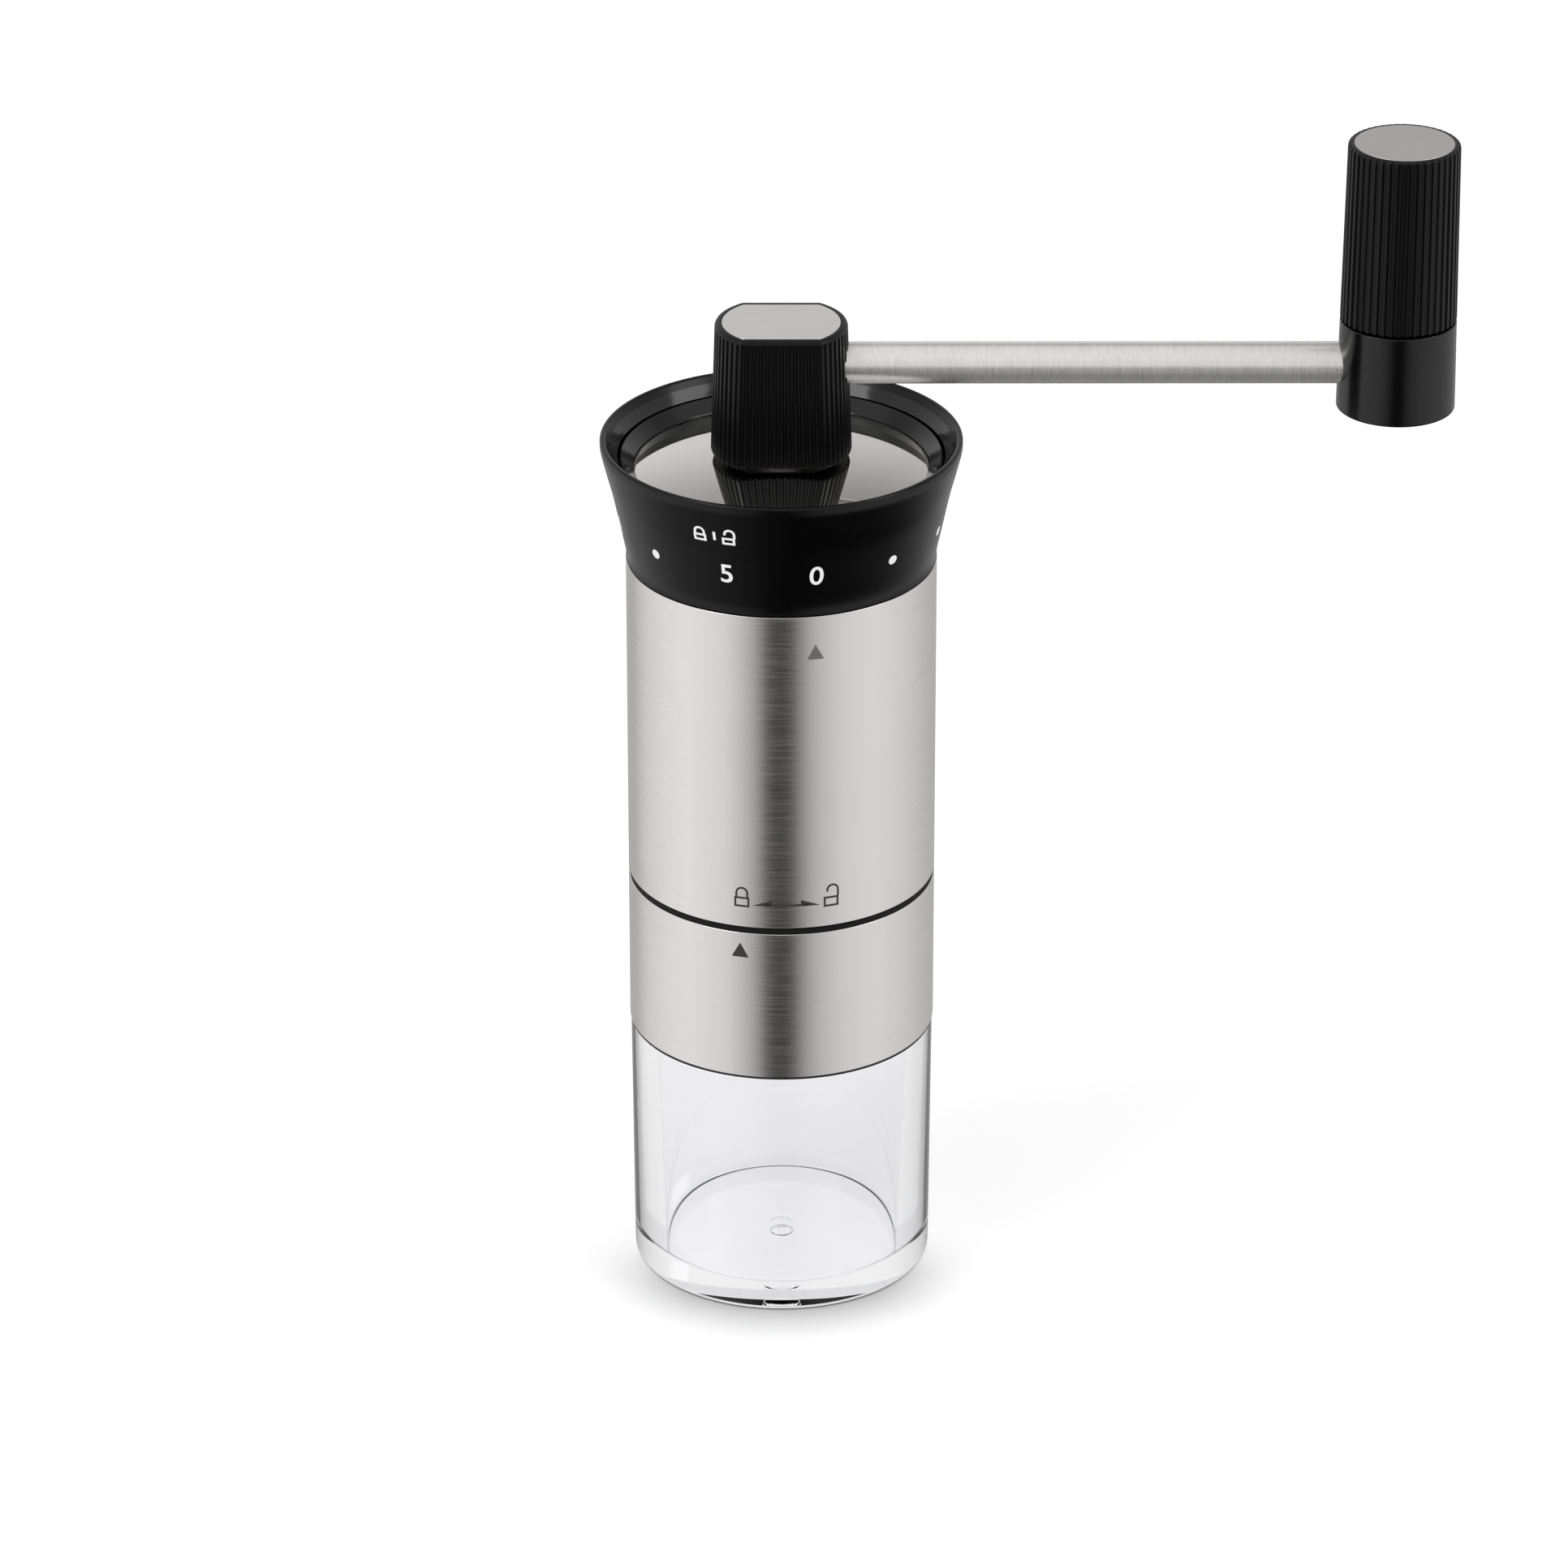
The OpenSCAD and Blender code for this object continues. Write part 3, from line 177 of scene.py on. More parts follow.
def clear_plastic(name):
    """Clear moulded cup: lamps shine through it, so that its shadow stays light."""
    finish, nodes, links, shader = new_finish(
        name, (0.945, 0.945, 0.955), 0.0, 0.0, {"Transmission Weight": 1.0, "IOR": 1.49})
    ripple = nodes.new("ShaderNodeBump")
    ripple.inputs["Strength"].default_value = 1
    ripple.inputs["Distance"].default_value = 0.004 * MM
    links.new(pattern(nodes, links, (0.12, 0.12, 0.05), 1.0), ripple.inputs["Height"])
    links.new(ripple.outputs["Normal"], shader.inputs["Normal"])
    open_way = nodes.new("ShaderNodeBsdfTransparent")
    open_way.inputs["Color"].default_value = (0.93, 0.93, 0.94, 1)
    ray = nodes.new("ShaderNodeLightPath")
    either = nodes.new("ShaderNodeMixShader")
    links.new(ray.outputs["Is Shadow Ray"], either.inputs["Fac"])
    links.new(shader.outputs["BSDF"], either.inputs[1])
    links.new(open_way.outputs["BSDF"], either.inputs[2])
    links.new(either.outputs["Shader"], nodes["Material Output"].inputs["Surface"])
    return finish


STEEL = (0.80, 0.785, 0.76)
brushed_steel = textured("brushed_steel", STEEL, 0.24, 1.0, per_mm=(0.12, 0.12, 3.2), tone=0.05, uneven=0.05,
                         relief=0.0012, cloud=0.01, detail=5.0, brushed_round="Z",
                         **{"Anisotropic": 0.55, "Anisotropic Rotation": 0.25})
drawn_tube = textured("drawn_tube", (0.88, 0.87, 0.85), 0.30, 0.80, per_mm=(3.0, 0.35, 0.35), tone=0.07,
                      uneven=0.05, relief=0.002, cloud=0.02, detail=5.0, brushed_round="X",
                      **{"Anisotropic": 0.4, "Anisotropic Rotation": 0.25})
satin_plate = textured("satin_plate", (0.93, 0.92, 0.91), 0.38, 1.0, per_mm=(0.25, 3.5, 1.0), tone=0.03,
                       uneven=0.04, relief=0.001, cloud=0.015)
satin_disc = textured("satin_disc", (0.68, 0.665, 0.66), 0.42, 1.0, per_mm=(2.5, 2.5, 1.0), tone=0.03,
                      uneven=0.04, relief=0.001, cloud=0.015)
mirror_steel = textured("mirror_steel", (0.83, 0.81, 0.785), 0.035, 1.0, per_mm=(0.4, 0.4, 0.4), uneven=0.012,
                        cloud=0.01)
plain_steel = textured("plain_steel", (0.62, 0.61, 0.60), 0.32, 1.0, per_mm=(1.5, 1.5, 2.5), tone=0.06,
                       uneven=0.06, relief=0.003)
dark_steel = textured("dark_steel", (0.26, 0.26, 0.27), 0.38, 1.0, per_mm=(2, 2, 2), tone=0.08, uneven=0.06,
                      relief=0.003)
brass = textured("brass", (0.72, 0.50, 0.22), 0.30, 1.0, per_mm=(1, 1, 4), tone=0.06, uneven=0.06,
                 relief=0.003)
ceramic = textured("ceramic", (0.80, 0.78, 0.74), 0.35, per_mm=(4, 4, 4), tone=0.03, uneven=0.05,
                   relief=0.004, cloud=0.02)
ring_black = textured("ring_black", (0.0012, 0.0012, 0.0015), 0.22, per_mm=(2.2, 2.2, 2.2), tone=0.3,
                      uneven=0.03, relief=0.0008, cloud=0.1, **{"Specular IOR Level": 0.28})
well_black = textured("well_black", (0.0012, 0.0012, 0.0015), 0.12, per_mm=(2.2, 2.2, 2.2), tone=0.3,
                      uneven=0.03, relief=0.0005, cloud=0.1, **{"Specular IOR Level": 0.5})
gloss_black = textured("gloss_black", (0.0010, 0.0010, 0.0013), 0.20, per_mm=(1.5, 1.5, 1.5), tone=0.3,
                       uneven=0.03, relief=0.001, cloud=0.1, **{"Specular IOR Level": 0.42})
black_plastic = textured("black_plastic", (0.010, 0.010, 0.011), 0.42, per_mm=(3, 3, 3), tone=0.2,
                         uneven=0.06, relief=0.006, cloud=0.1, **{"Specular IOR Level": 0.4})
grip_rubber = textured("grip_rubber", (0.0010, 0.0010, 0.0012), 0.38, per_mm=(5, 5, 5), tone=0.4, uneven=0.08,
                       relief=0.006, cloud=0.2, **{"Specular IOR Level": 0.28})
seal_rubber = textured("seal_rubber", (0.006, 0.006, 0.006), 0.62, per_mm=(4, 4, 4), tone=0.2, uneven=0.05,
                       relief=0.006, **{"Specular IOR Level": 0.2})
white_plastic = textured("white_plastic", (0.78, 0.78, 0.75), 0.4, per_mm=(3, 3, 3), tone=0.03, uneven=0.05,
                         relief=0.004)
clear_cup = clear_plastic("clear_cup")
white_print = textured("white_print", (0.88, 0.88, 0.89), 0.45, per_mm=(6, 6, 6), tone=0.05, uneven=0.05)
dark_etch = textured("dark_etch", (0.045, 0.042, 0.040), 0.5, 0.3, per_mm=(0.5, 0.5, 6), tone=0.25,
                     uneven=0.08)
pale_etch = textured("pale_etch", (0.22, 0.21, 0.20), 0.45, 0.6, per_mm=(0.5, 0.5, 6), tone=0.15, uneven=0.08)


# ---------------------------------------------------------------- shaping

def spun(outline, rounds=(), steps=ROUND):
    """A closed outline of (radius, height) points turned once round the upright axis.
    rounds lists the corners to round, each with its size."""
    bm = bmesh.new()
    points = [bm.verts.new((r, 0, z)) for r, z in outline]
    sides = [bm.edges.new(pair) for pair in zip(points, points[1:] + points[:1])]
    bmesh.ops.spin(bm, geom=points + sides, axis=(0, 0, 1), cent=(0, 0, 0), angle=math.tau, steps=steps,
                   use_merge=True)
    bmesh.ops.remove_doubles(bm, verts=bm.verts, dist=0.0005)
    bmesh.ops.delete(bm, geom=[e for e in bm.edges if not e.link_faces], context="EDGES")
    for (r, z), size in rounds:
        rim = [e for e in bm.edges if all(
            abs(math.hypot(v.co.x, v.co.y) - r) < 0.01 and abs(v.co.z - z) < 0.01 for v in e.verts)]
        bmesh.ops.bevel(bm, geom=rim, offset=size, segments=4, profile=0.5, affect="EDGES", material=-1)
    bmesh.ops.recalc_face_normals(bm, faces=bm.faces)
    return bm


def raised(bm, chosen, move):
    """Pulls the chosen faces out of a piece; move gives each of their corners its new place."""
    flat = [f for f in bm.faces if chosen(f.calc_center_median())]
    lifted = bmesh.ops.extrude_face_region(bm, geom=flat)
    bmesh.ops.delete(bm, geom=[f for f in flat if f.is_valid], context="FACES_KEEP_BOUNDARY")
    for v in (g for g in lifted["geom"] if isinstance(g, bmesh.types.BMVert)):
        v.co = move(v.co)
    bmesh.ops.recalc_face_normals(bm, faces=bm.faces)


def smooth_line(points, steps):
    """The points with steps more between each two, on a soft curve through them."""
    line = []
    for i in range(len(points) - 1):
        a, b, c, d = (Vector(points[min(max(j, 0), len(points) - 1)]) for j in (i - 1, i, i + 1, i + 2))
        for t in (n / steps for n in range(steps)):
            line.append(0.5 * (2 * b + (c - a) * t + (2 * a - 5 * b + 4 * c - d) * t ** 2
                               + (3 * b - a - 3 * c + d) * t ** 3))
    return [tuple(p) for p in line] + [tuple(points[-1])]


def piece(name, bm, body, slot, *finishes, stands_for=(), crease=32, shift=(0, 0, 0)):
    """Turns bm, drawn in millimetres, into a finished piece that rides on a body of the grinder."""
    bmesh.ops.translate(bm, verts=bm.verts, vec=shift)
    bmesh.ops.scale(bm, verts=bm.verts, vec=(MM, MM, MM))
    mesh = bpy.data.meshes.new(name)
    bm.to_mesh(mesh)
    bm.free()
    mesh.shade_smooth()
    mesh.set_sharp_from_angle(angle=math.radians(crease))
    for finish in finishes:
        mesh.materials.append(finish)
    made = bpy.data.objects.new(name, mesh)
    scene.collection.objects.link(made)
    even = made.modifiers.new("even_shading", "WEIGHTED_NORMAL")
    even.keep_sharp = True
    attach(made, body)
    if stands_for:
        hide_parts(*stands_for)
    return made


# ---------------------------------------------------------------- cup, collar and barrel

piece("grounds_cup", spun(
    [(0, 0.8), (2.1, 0.8), (2.1, 0), (26.9, 0), (27.3, 47.45), (CUP_NECK, 47.45), (CUP_NECK, 62), (23, 62),
     (23, 47.5), (21.5, 4), (2, 4), (2, 3.7), (0, 3.7)],
    rounds=[((26.9, 0), 0.9), ((2.1, 0), 0.15), ((2.1, 0.8), 0.2), ((21.5, 4), 0.7), ((2, 4), 0.1),
            ((27.3, 47.45), 0.15), ((CUP_NECK, 62), 0.3), ((23, 62), 0.3)]),
    "container", "clear_cup", clear_cup, stands_for=["cup"], crease=25)

for name, low, high, body, solid in (("cup_collar", 47.9, 76.5, "container", "collar"),
                                     ("barrel_sleeve", 77.7, 138.0, "housing", "body_sleeve")):
    piece(name, spun([(TUBE_BORE, low), (BARREL, low), (BARREL, high), (TUBE_BORE, high)],
                     rounds=[((BARREL, low), 0.12), ((BARREL, high), 0.12)]),
          body, "brushed_steel", brushed_steel, stands_for=[solid])


# ---------------------------------------------------------------- grind ring

# Three lugs hold the lid; the tab stops the ring's turn. Middles and halves are in degrees
LUG_FOOT, LUG_TOP, LUG_FACE = 151.2, 152.2, 27.7
LUG_MIDDLES, LUG_HALF = (-131, -11, 109), 4.8
FLANGE_EDGE, TAB_EDGE, TAB_FOOT = 23.6, 24.18, 145.5
TAB_MIDDLE, TAB_HALF = 74.25, 7.45

ring_skin = smooth_line(FLARE, 5)
ring_inside = [
    (RIM, RIM_TOP), (31.0, RIM_TOP), (30.15, 159.3), (29.3, 158.1), (WELL, 157.4), (WELL, LUG_TOP),
    (WELL, LUG_FOOT), (WELL, WELL_FLOOR), (FLANGE_EDGE, WELL_FLOOR), (FLANGE_EDGE, TAB_FACE),
    (TAB_EDGE, TAB_FACE), (RING_BORE, TAB_FACE), (RING_BORE, 144.75), (27.35, 144.75), (27.35, 143.05),
    (RING_BORE, 143.05)]
ring = spun([(RING_BORE, FLARE[0][1])] + ring_skin + ring_inside,
            rounds=[((RIM, RIM_TOP), 0.35), ((31.0, RIM_TOP), 0.3), ((29.3, 158.1), 0.3),
                    ((WELL, WELL_FLOOR), 0.3)])


def turn_of(point):
    return math.degrees(math.atan2(point.y, point.x))


def pulled_in(point):
    return Vector((point.x, point.y, 0)).normalized() * LUG_FACE + Vector((0, 0, point.z))


for place in LUG_MIDDLES:
    raised(ring, lambda c: LUG_FOOT < c.z < LUG_TOP and WELL - 0.35 < c.xy.length < WELL + 0.15
           and abs(turn_of(c) - place) < LUG_HALF, pulled_in)
raised(ring, lambda c: abs(c.z - TAB_FACE) < 0.01 and FLANGE_EDGE < c.xy.length < TAB_EDGE
       and abs(turn_of(c) - TAB_MIDDLE) < TAB_HALF, lambda at: Vector((at.x, at.y, TAB_FOOT)))
for f in ring.faces:
    middle = f.calc_center_median()
    f.material_index = 1 if WELL_FLOOR + 0.1 < middle.z < 159.3 and f.normal.xy.dot(middle.xy) < 0 else 0
piece("numbered_ring", ring, "dial", "ring_black", ring_black, well_black, stands_for=["grind_ring"])


# ---------------------------------------------------------------- lid

def dome_arc(radius, r_from, r_to, count=40):
    """Points of a shallow dome between two radii."""
    spread = [r_from + (r_to - r_from) * i / count for i in range(count + 1)]
    return [(r, DOME_TOP - DOME + math.sqrt(radius ** 2 - r ** 2)) for r in spread]


lid_skin = dome_arc(DOME, LID_HOLE, LID_EDGE)
piece("polished_lid", spun(lid_skin + dome_arc(DOME - LID_SHEET, LID_EDGE, LID_HOLE),
                           rounds=[(lid_skin[-1], 0.15)], steps=256),
      "lid", "polished_steel", mirror_steel, stands_for=["lid_plate"])


# ---------------------------------------------------------------- ribbed hub and knob grip

# One rib and its groove: share of the way along it, share of the groove's depth
GROOVE = [(0.0, 0.0), (0.2, 0.0), (0.27, 0.35), (0.35, 0.85), (0.5, 1.0), (0.65, 0.85), (0.73, 0.35),
          (0.8, 0.0)]
GROOVE_DEPTH = 0.45


def hub_round(radius, flat, along_arc=17, along_flat=12):
    """(x, y, outward x, outward y, groove share) all round a hub with two flats."""
    half = math.asin(min(flat / radius, 1))
    reach = math.sqrt(radius ** 2 - flat ** 2)
    line = []
    for side in (1, -1):
        for i in range(along_arc):
            for phase, share in GROOVE:
                a = half * (2 * (i + phase) / along_arc - 1)
                line.append((side * radius * math.cos(a), side * radius * math.sin(a),
                             side * math.cos(a), side * math.sin(a), share))
        for i in range(along_flat):
            for phase, share in GROOVE:
                line.append((side * reach * (1 - 2 * (i + phase) / along_flat), side * flat, 0, side, share))
    return line


def grip_round(radius, flat, ribs=44):
    """(x, y, outward x, outward y, groove share) all round the knob's grip, which has no flat."""
    turns = [(math.tau * (i + phase - 0.5) / ribs, share) for i in range(ribs) for phase, share in GROOVE]
    return [(radius * math.cos(a), radius * math.sin(a), math.cos(a), math.sin(a), share)
            for a, share in turns]


def ribbed(section, levels, closed):
    """A sheet wrapped round section at each level (height, radius, flat, groove depth share).
    When closed, the last level meets the first again; otherwise both ends are filled."""
    around = len(section(levels[0][1], levels[0][2]))
    bm = bmesh.new()
    bmesh.ops.create_grid(bm, x_segments=around, y_segments=len(levels) - 1, size=1)
    lines = [section(radius, flat) for _, radius, flat, _ in levels]
    for v in bm.verts:
        column = round((v.co.x + 1) / 2 * around) % around
        row = round((v.co.y + 1) / 2 * (len(levels) - 1))
        z, _, _, depth = levels[row]
        x, y, out_x, out_y, share = lines[row][column]
        sink = GROOVE_DEPTH * depth * share
        v.co = (x - out_x * sink, y - out_y * sink, z)
    bmesh.ops.remove_doubles(bm, verts=bm.verts, dist=0.001)
    if not closed:
        bmesh.ops.holes_fill(bm, edges=[e for e in bm.edges if e.is_boundary], sides=0)
    bmesh.ops.recalc_face_normals(bm, faces=bm.faces)
    return bm


def tapered(z, foot, top, r_foot, r_top):
    return r_foot + (r_top - r_foot) * (z - foot) / (top - foot)


def hub_level(z, depth, inset=0.0):
    return (z, tapered(z, HUB_FOOT, HUB_TOP - 0.8, 12.4, 11.65) - inset,
            tapered(z, HUB_FOOT, HUB_TOP, 9.7, 9.25) - inset * 0.7, depth)


# Down the bore, up the ribs, over the rim, down to the plate
hub_levels = (
    [(180, 9.25, 7.3, 0), (HUB_FOOT, 9.25, 7.3, 0), hub_level(HUB_FOOT, 1, 0.3), hub_level(158.5, 1, 0.1)]
    + [hub_level(z, 1) for z in (158.8, 164, 169, 174, 178, 180.6)]
    + [hub_level(z, depth) for z, depth in ((181.0, 0.95), (181.3, 0.75), (181.5, 0.4), (181.62, 0.0))]
    + [(181.85, 11.56, 9.17, 0), (182.1, 11.4, 9.06, 0), (182.25, 11.15, 8.88, 0), (HUB_TOP, 10.9, 8.65, 0),
       (HUB_TOP, 10.52, 8.12, 0), (182.2, 10.45, 8.05, 0), (HUB_PLATE_SEAT, 10.45, 8.05, 0)])
piece("ribbed_hub", ribbed(hub_round, hub_levels, closed=False), "crank", "grip_rubber", grip_rubber,
      stands_for=["hub_shell"], crease=40)


def grip_level(z, depth, inset=0.0):
    return (z, tapered(z, GRIP_FOOT, GRIP_TOP, 10.1785, 9.75) - inset, 0, depth)


# Down the bore, up the ribs, over the rim, back to the bore
grip_levels = (
    [(DISC_SEAT, GRIP_BORE, 0, 0), (GRIP_FOOT, GRIP_BORE, 0, 0), grip_level(GRIP_FOOT, 1, 0.25),
     grip_level(183.3, 1, 0.08)]
    + [grip_level(z, 1) for z in (183.5, 190, 197, 204, 210, 214.2)]
    + [grip_level(214.6, 0.95), grip_level(214.95, 0.8, 0.03), grip_level(215.2, 0.6, 0.13),
       grip_level(215.35, 0.35, 0.3), grip_level(215.42, 0.1, 0.5), (215.42, 8.82, 0, 0),
       (215.35, 8.75, 0, 0), (DISC_SEAT, 8.75, 0, 0), (DISC_SEAT, GRIP_BORE, 0, 0)])
piece("ribbed_grip", ribbed(grip_round, grip_levels, closed=True), "knob", "grip_rubber", grip_rubber,
      stands_for=["knob_grip"], crease=40, shift=(CRANK, 0, 0))

plate_foot, plate_thick = HUB_PLATE_SEAT + 0.05, 0.85
plate = bmesh.new()
bmesh.ops.create_circle(plate, cap_ends=True, segments=144, radius=HUB_PLATE)
for v in plate.verts:
    v.co.y = max(-HUB_PLATE_HALF, min(HUB_PLATE_HALF, v.co.y))
    v.co.z = plate_foot
lifted = bmesh.ops.extrude_face_region(plate, geom=plate.faces[:])
bmesh.ops.translate(plate, verts=[g for g in lifted["geom"] if isinstance(g, bmesh.types.BMVert)],
                    vec=(0, 0, plate_thick))
bmesh.ops.recalc_face_normals(plate, faces=plate.faces)
edge = [e for e in plate.edges if all(v.co.z > plate_foot + plate_thick / 2 for v in e.verts)]
bmesh.ops.bevel(plate, geom=edge, offset=0.14, segments=2, profile=0.5, affect="EDGES", material=-1)
piece("hub_top_plate", plate, "crank", "satin_steel", satin_plate, stands_for=["hub_plate"], crease=50)

ARM_START, ARM_LENGTH = -5.5, 109.1
arm = spun([(ARM_BORE, 0), (ARM, 0), (ARM, ARM_LENGTH), (ARM_BORE, ARM_LENGTH)],
           rounds=[((ARM, 0), 0.2), ((ARM, ARM_LENGTH), 0.2)], steps=96)
bmesh.ops.rotate(arm, verts=arm.verts, cent=(0, 0, 0), matrix=Matrix.Rotation(math.radians(90), 3, "Y"))
piece("crank_tube", arm, "crank", "satin_steel", drawn_tube, stands_for=["crank_arm"],
      shift=(ARM_START, 0, ARM_HEIGHT))

piece("knob_foot", spun([(0, 166.5), (KNOB, 166.5), (KNOB, 166.9), (10.18, 182.9), (0, 182.9)],
                        rounds=[((KNOB, 166.5), 0.35), ((10.18, 182.9), 0.2)], steps=128),
      "crank", "gloss_black", gloss_black, stands_for=["knob_collar"], shift=(CRANK, 0, 0))

piece("knob_top_disc", spun([(0, DISC_SEAT + 0.05), (DISC, DISC_SEAT + 0.05), (DISC, 215.45), (0, 215.45)],
                            rounds=[((DISC, 215.45), 0.12)], steps=128),
      "knob", "satin_steel", satin_disc, stands_for=["knob_disc"], shift=(CRANK, 0, 0))


# ---------------------------------------------------------------- marks

def block(bm, x, y, w, h):
    """A flat upright rectangle centred on x, y."""
    bmesh.ops.create_grid(bm, x_segments=1, y_segments=1, size=0.5,
                          matrix=Matrix.Translation((x, y, 0)) @ Matrix.Diagonal((w, h, 1, 1)))


def bow(bm, x, y, radius, line, start, turn):
    """A bent line of that width: part of a flat ring, angles in degrees."""
    a = math.radians(start)
    ends = [bm.verts.new((x + r * math.cos(a), y + r * math.sin(a), 0))
            for r in (radius - line / 2, radius + line / 2)]
    bmesh.ops.spin(bm, geom=ends + [bm.edges.new(ends)], axis=(0, 0, 1), cent=(x, y, 0),
                   angle=math.radians(turn), steps=14)


def padlock(width, height, line, is_open):
    """An outlined padlock; an open one has its bow raised and loose at the left."""
    bm = bmesh.new()
    low, case = -height / 2, height * 0.5
    middle = low + case / 2
    for y in (low + line / 2, low + case - line / 2):
        block(bm, 0, y, width, line)
    for x in (-(width - line) / 2, (width - line) / 2):
        block(bm, x, middle, line, case - 2 * line)
    radius = width * 0.36
    top = height / 2 - line / 2 - radius
    lift = 0.12 * height if is_open else 0
    leg = max(top + lift - (low + case), 0.02)
    shift = 0.1 * width if is_open else 0
    block(bm, radius + shift, low + case + leg / 2, line, leg)
    if not is_open:
        block(bm, -radius, low + case + leg / 2, line, leg)
    bow(bm, shift, top + lift, radius, line, 0, 195 if is_open else 180)
    return bm


def spot(diameter):
    bm = bmesh.new()
    bmesh.ops.create_circle(bm, cap_ends=True, segments=28, radius=diameter / 2)
    return bm


def bar(width, height):
    bm = bmesh.new()
    block(bm, 0, 0, width, height)
    return bm


def pointer(width, height, inset):
    """A triangle with its middle in the second finish."""
    bm = bmesh.new()
    bm.faces.new([bm.verts.new(p) for p in ((-width / 2, -height / 2, 0), (width / 2, -height / 2, 0),
                                            (0, height / 2, 0))])
    bmesh.ops.inset_region(bm, faces=bm.faces[:], thickness=inset)
    max(bm.faces, key=lambda f: min(v.co.y for v in f.verts)).material_index = 1
    return bm


def double_arrow(length, line, head, barb):
    """A long line with half an arrow head at each end, on its upper side."""
    bm = bmesh.new()
    block(bm, 0, 0, length - head, line)
    for side in (-1, 1):
        tip = side * length / 2
        bm.faces.new([bm.verts.new(p) for p in ((tip, -line / 2, 0), (tip - side * head, -line / 2, 0),
                                                (tip - side * head, barb, 0))])
    return bm


def figure(text, height):
    """A plain figure made a little bolder, centred."""
    curve = bpy.data.curves.new("figure", "FONT")
    curve.body = text
    curve.size = height * 1.37          # gives figures that high
    curve.offset = height * 0.016       # bolder by this much
    curve.align_x = "CENTER"
    holder = bpy.data.objects.new("figure", curve)
    scene.collection.objects.link(holder)
    flat = bpy.data.meshes.new_from_object(holder.evaluated_get(bpy.context.evaluated_depsgraph_get()))
    bm = bmesh.new()
    bm.from_mesh(flat)
    bpy.data.objects.remove(holder)
    bpy.data.curves.remove(curve)
    bpy.data.meshes.remove(flat)
    bmesh.ops.remove_doubles(bm, verts=bm.verts, dist=0.003)
    across, up = ([v.co[axis] for v in bm.verts] for axis in (0, 1))
    bmesh.ops.translate(bm, verts=bm.verts,
                        vec=(-(min(across) + max(across)) / 2, -(min(up) + max(up)) / 2, 0))
    return bm


def ring_wall(z):
    """Radius of the grind ring's skin at a height."""
    for (r0, z0), (r1, z1) in zip(ring_skin, ring_skin[1:]):
        if z0 <= z <= z1 and z1 > z0:
            return r0 + (r1 - r0) * (z - z0) / (z1 - z0)
    return BARREL


def laid(flat_marks, wall, upright=1.0, lift=0.012, depth=0.03, strip=0.4):
    """Bends flat marks round the barrel: each is (shape, degrees from the front, height).
    They are cut in strips first, so that they follow the wall; upright is how steeply it stands."""
    whole = bmesh.new()
    for shape, degrees, z in flat_marks:
        for axis in (0, 1):
            reach = [v.co[axis] for v in shape.verts]
            cut = math.floor(min(reach) / strip) * strip
            while cut < max(reach):
                point, normal = [0, 0, 0], [0, 0, 0]
                point[axis], normal[axis] = cut, 1
                bmesh.ops.bisect_plane(shape, geom=shape.verts[:] + shape.edges[:] + shape.faces[:],
                                       plane_co=point, plane_no=normal, dist=0.0001)
                cut += strip
        bmesh.ops.dissolve_degenerate(shape, dist=0.002, edges=shape.edges)
        for v in shape.verts:
            height = z + v.co.y * upright
            r = wall(height)
            a = math.radians(degrees) + v.co.x / wall(z)
            v.co = ((r + lift) * math.sin(a), -(r + lift) * math.cos(a), height)
        for f in shape.faces:
            f.normal_update()
            if f.normal.xy.dot(f.calc_center_median().xy) < 0:
                f.normal_flip()
        part = bpy.data.meshes.new("mark")
        shape.to_mesh(part)
        whole.from_mesh(part)
        bpy.data.meshes.remove(part)
        shape.free()
    bmesh.ops.solidify(whole, geom=whole.faces[:], thickness=-depth)
    bmesh.ops.recalc_face_normals(whole, faces=whole.faces)
    return whole


DIAL_TURN = 328.6                   # degrees between the first mark and the last
FIRST_MARK, SCALE_HEIGHT = 12.2, 146.4
scale = ["0", "", "", "1", "", "2", "", "3", "", "4", "", "5"]
scale_step = DIAL_TURN / (len(scale) - 1)
scale_marks = [(figure(text, 3.9) if text else spot(1.8), FIRST_MARK + i * scale_step, SCALE_HEIGHT)
               for i, text in enumerate(scale)]
lock_marks = [(padlock(2.4, 3.0, 0.44, False), -27.4, 154.05), (bar(0.5, 1.8), -22.2, 154.0),
              (padlock(2.4, 3.0, 0.44, True), -17.4, 153.95)]
piece("ring_print", laid(scale_marks, ring_wall, 0.97), "dial", "white_plastic", white_print)
piece("rim_lock_print", laid(lock_marks, ring_wall, 0.96), "dial", "white_plastic", white_print)

barrel_marks = [(pointer(3.0, 2.8, 0.5), 12.5, 131.3), (padlock(2.75, 3.9, 0.36, False), -14.8, 83.6),
                (padlock(2.75, 3.9, 0.36, True), 18.6, 83.5), (double_arrow(11.9, 0.4, 3.4, 1.0), 1.85, 82.3)]
piece("barrel_etching", laid(barrel_marks, lambda z: BARREL), "housing", "plain_steel", dark_etch, pale_etch)
piece("collar_etching", laid([(pointer(3.1, 2.8, 0.75), -15.5, 73.1)], lambda z: BARREL), "container",
      "plain_steel", dark_etch, dark_etch)


# ---------------------------------------------------------------- finishes of the solids that stay

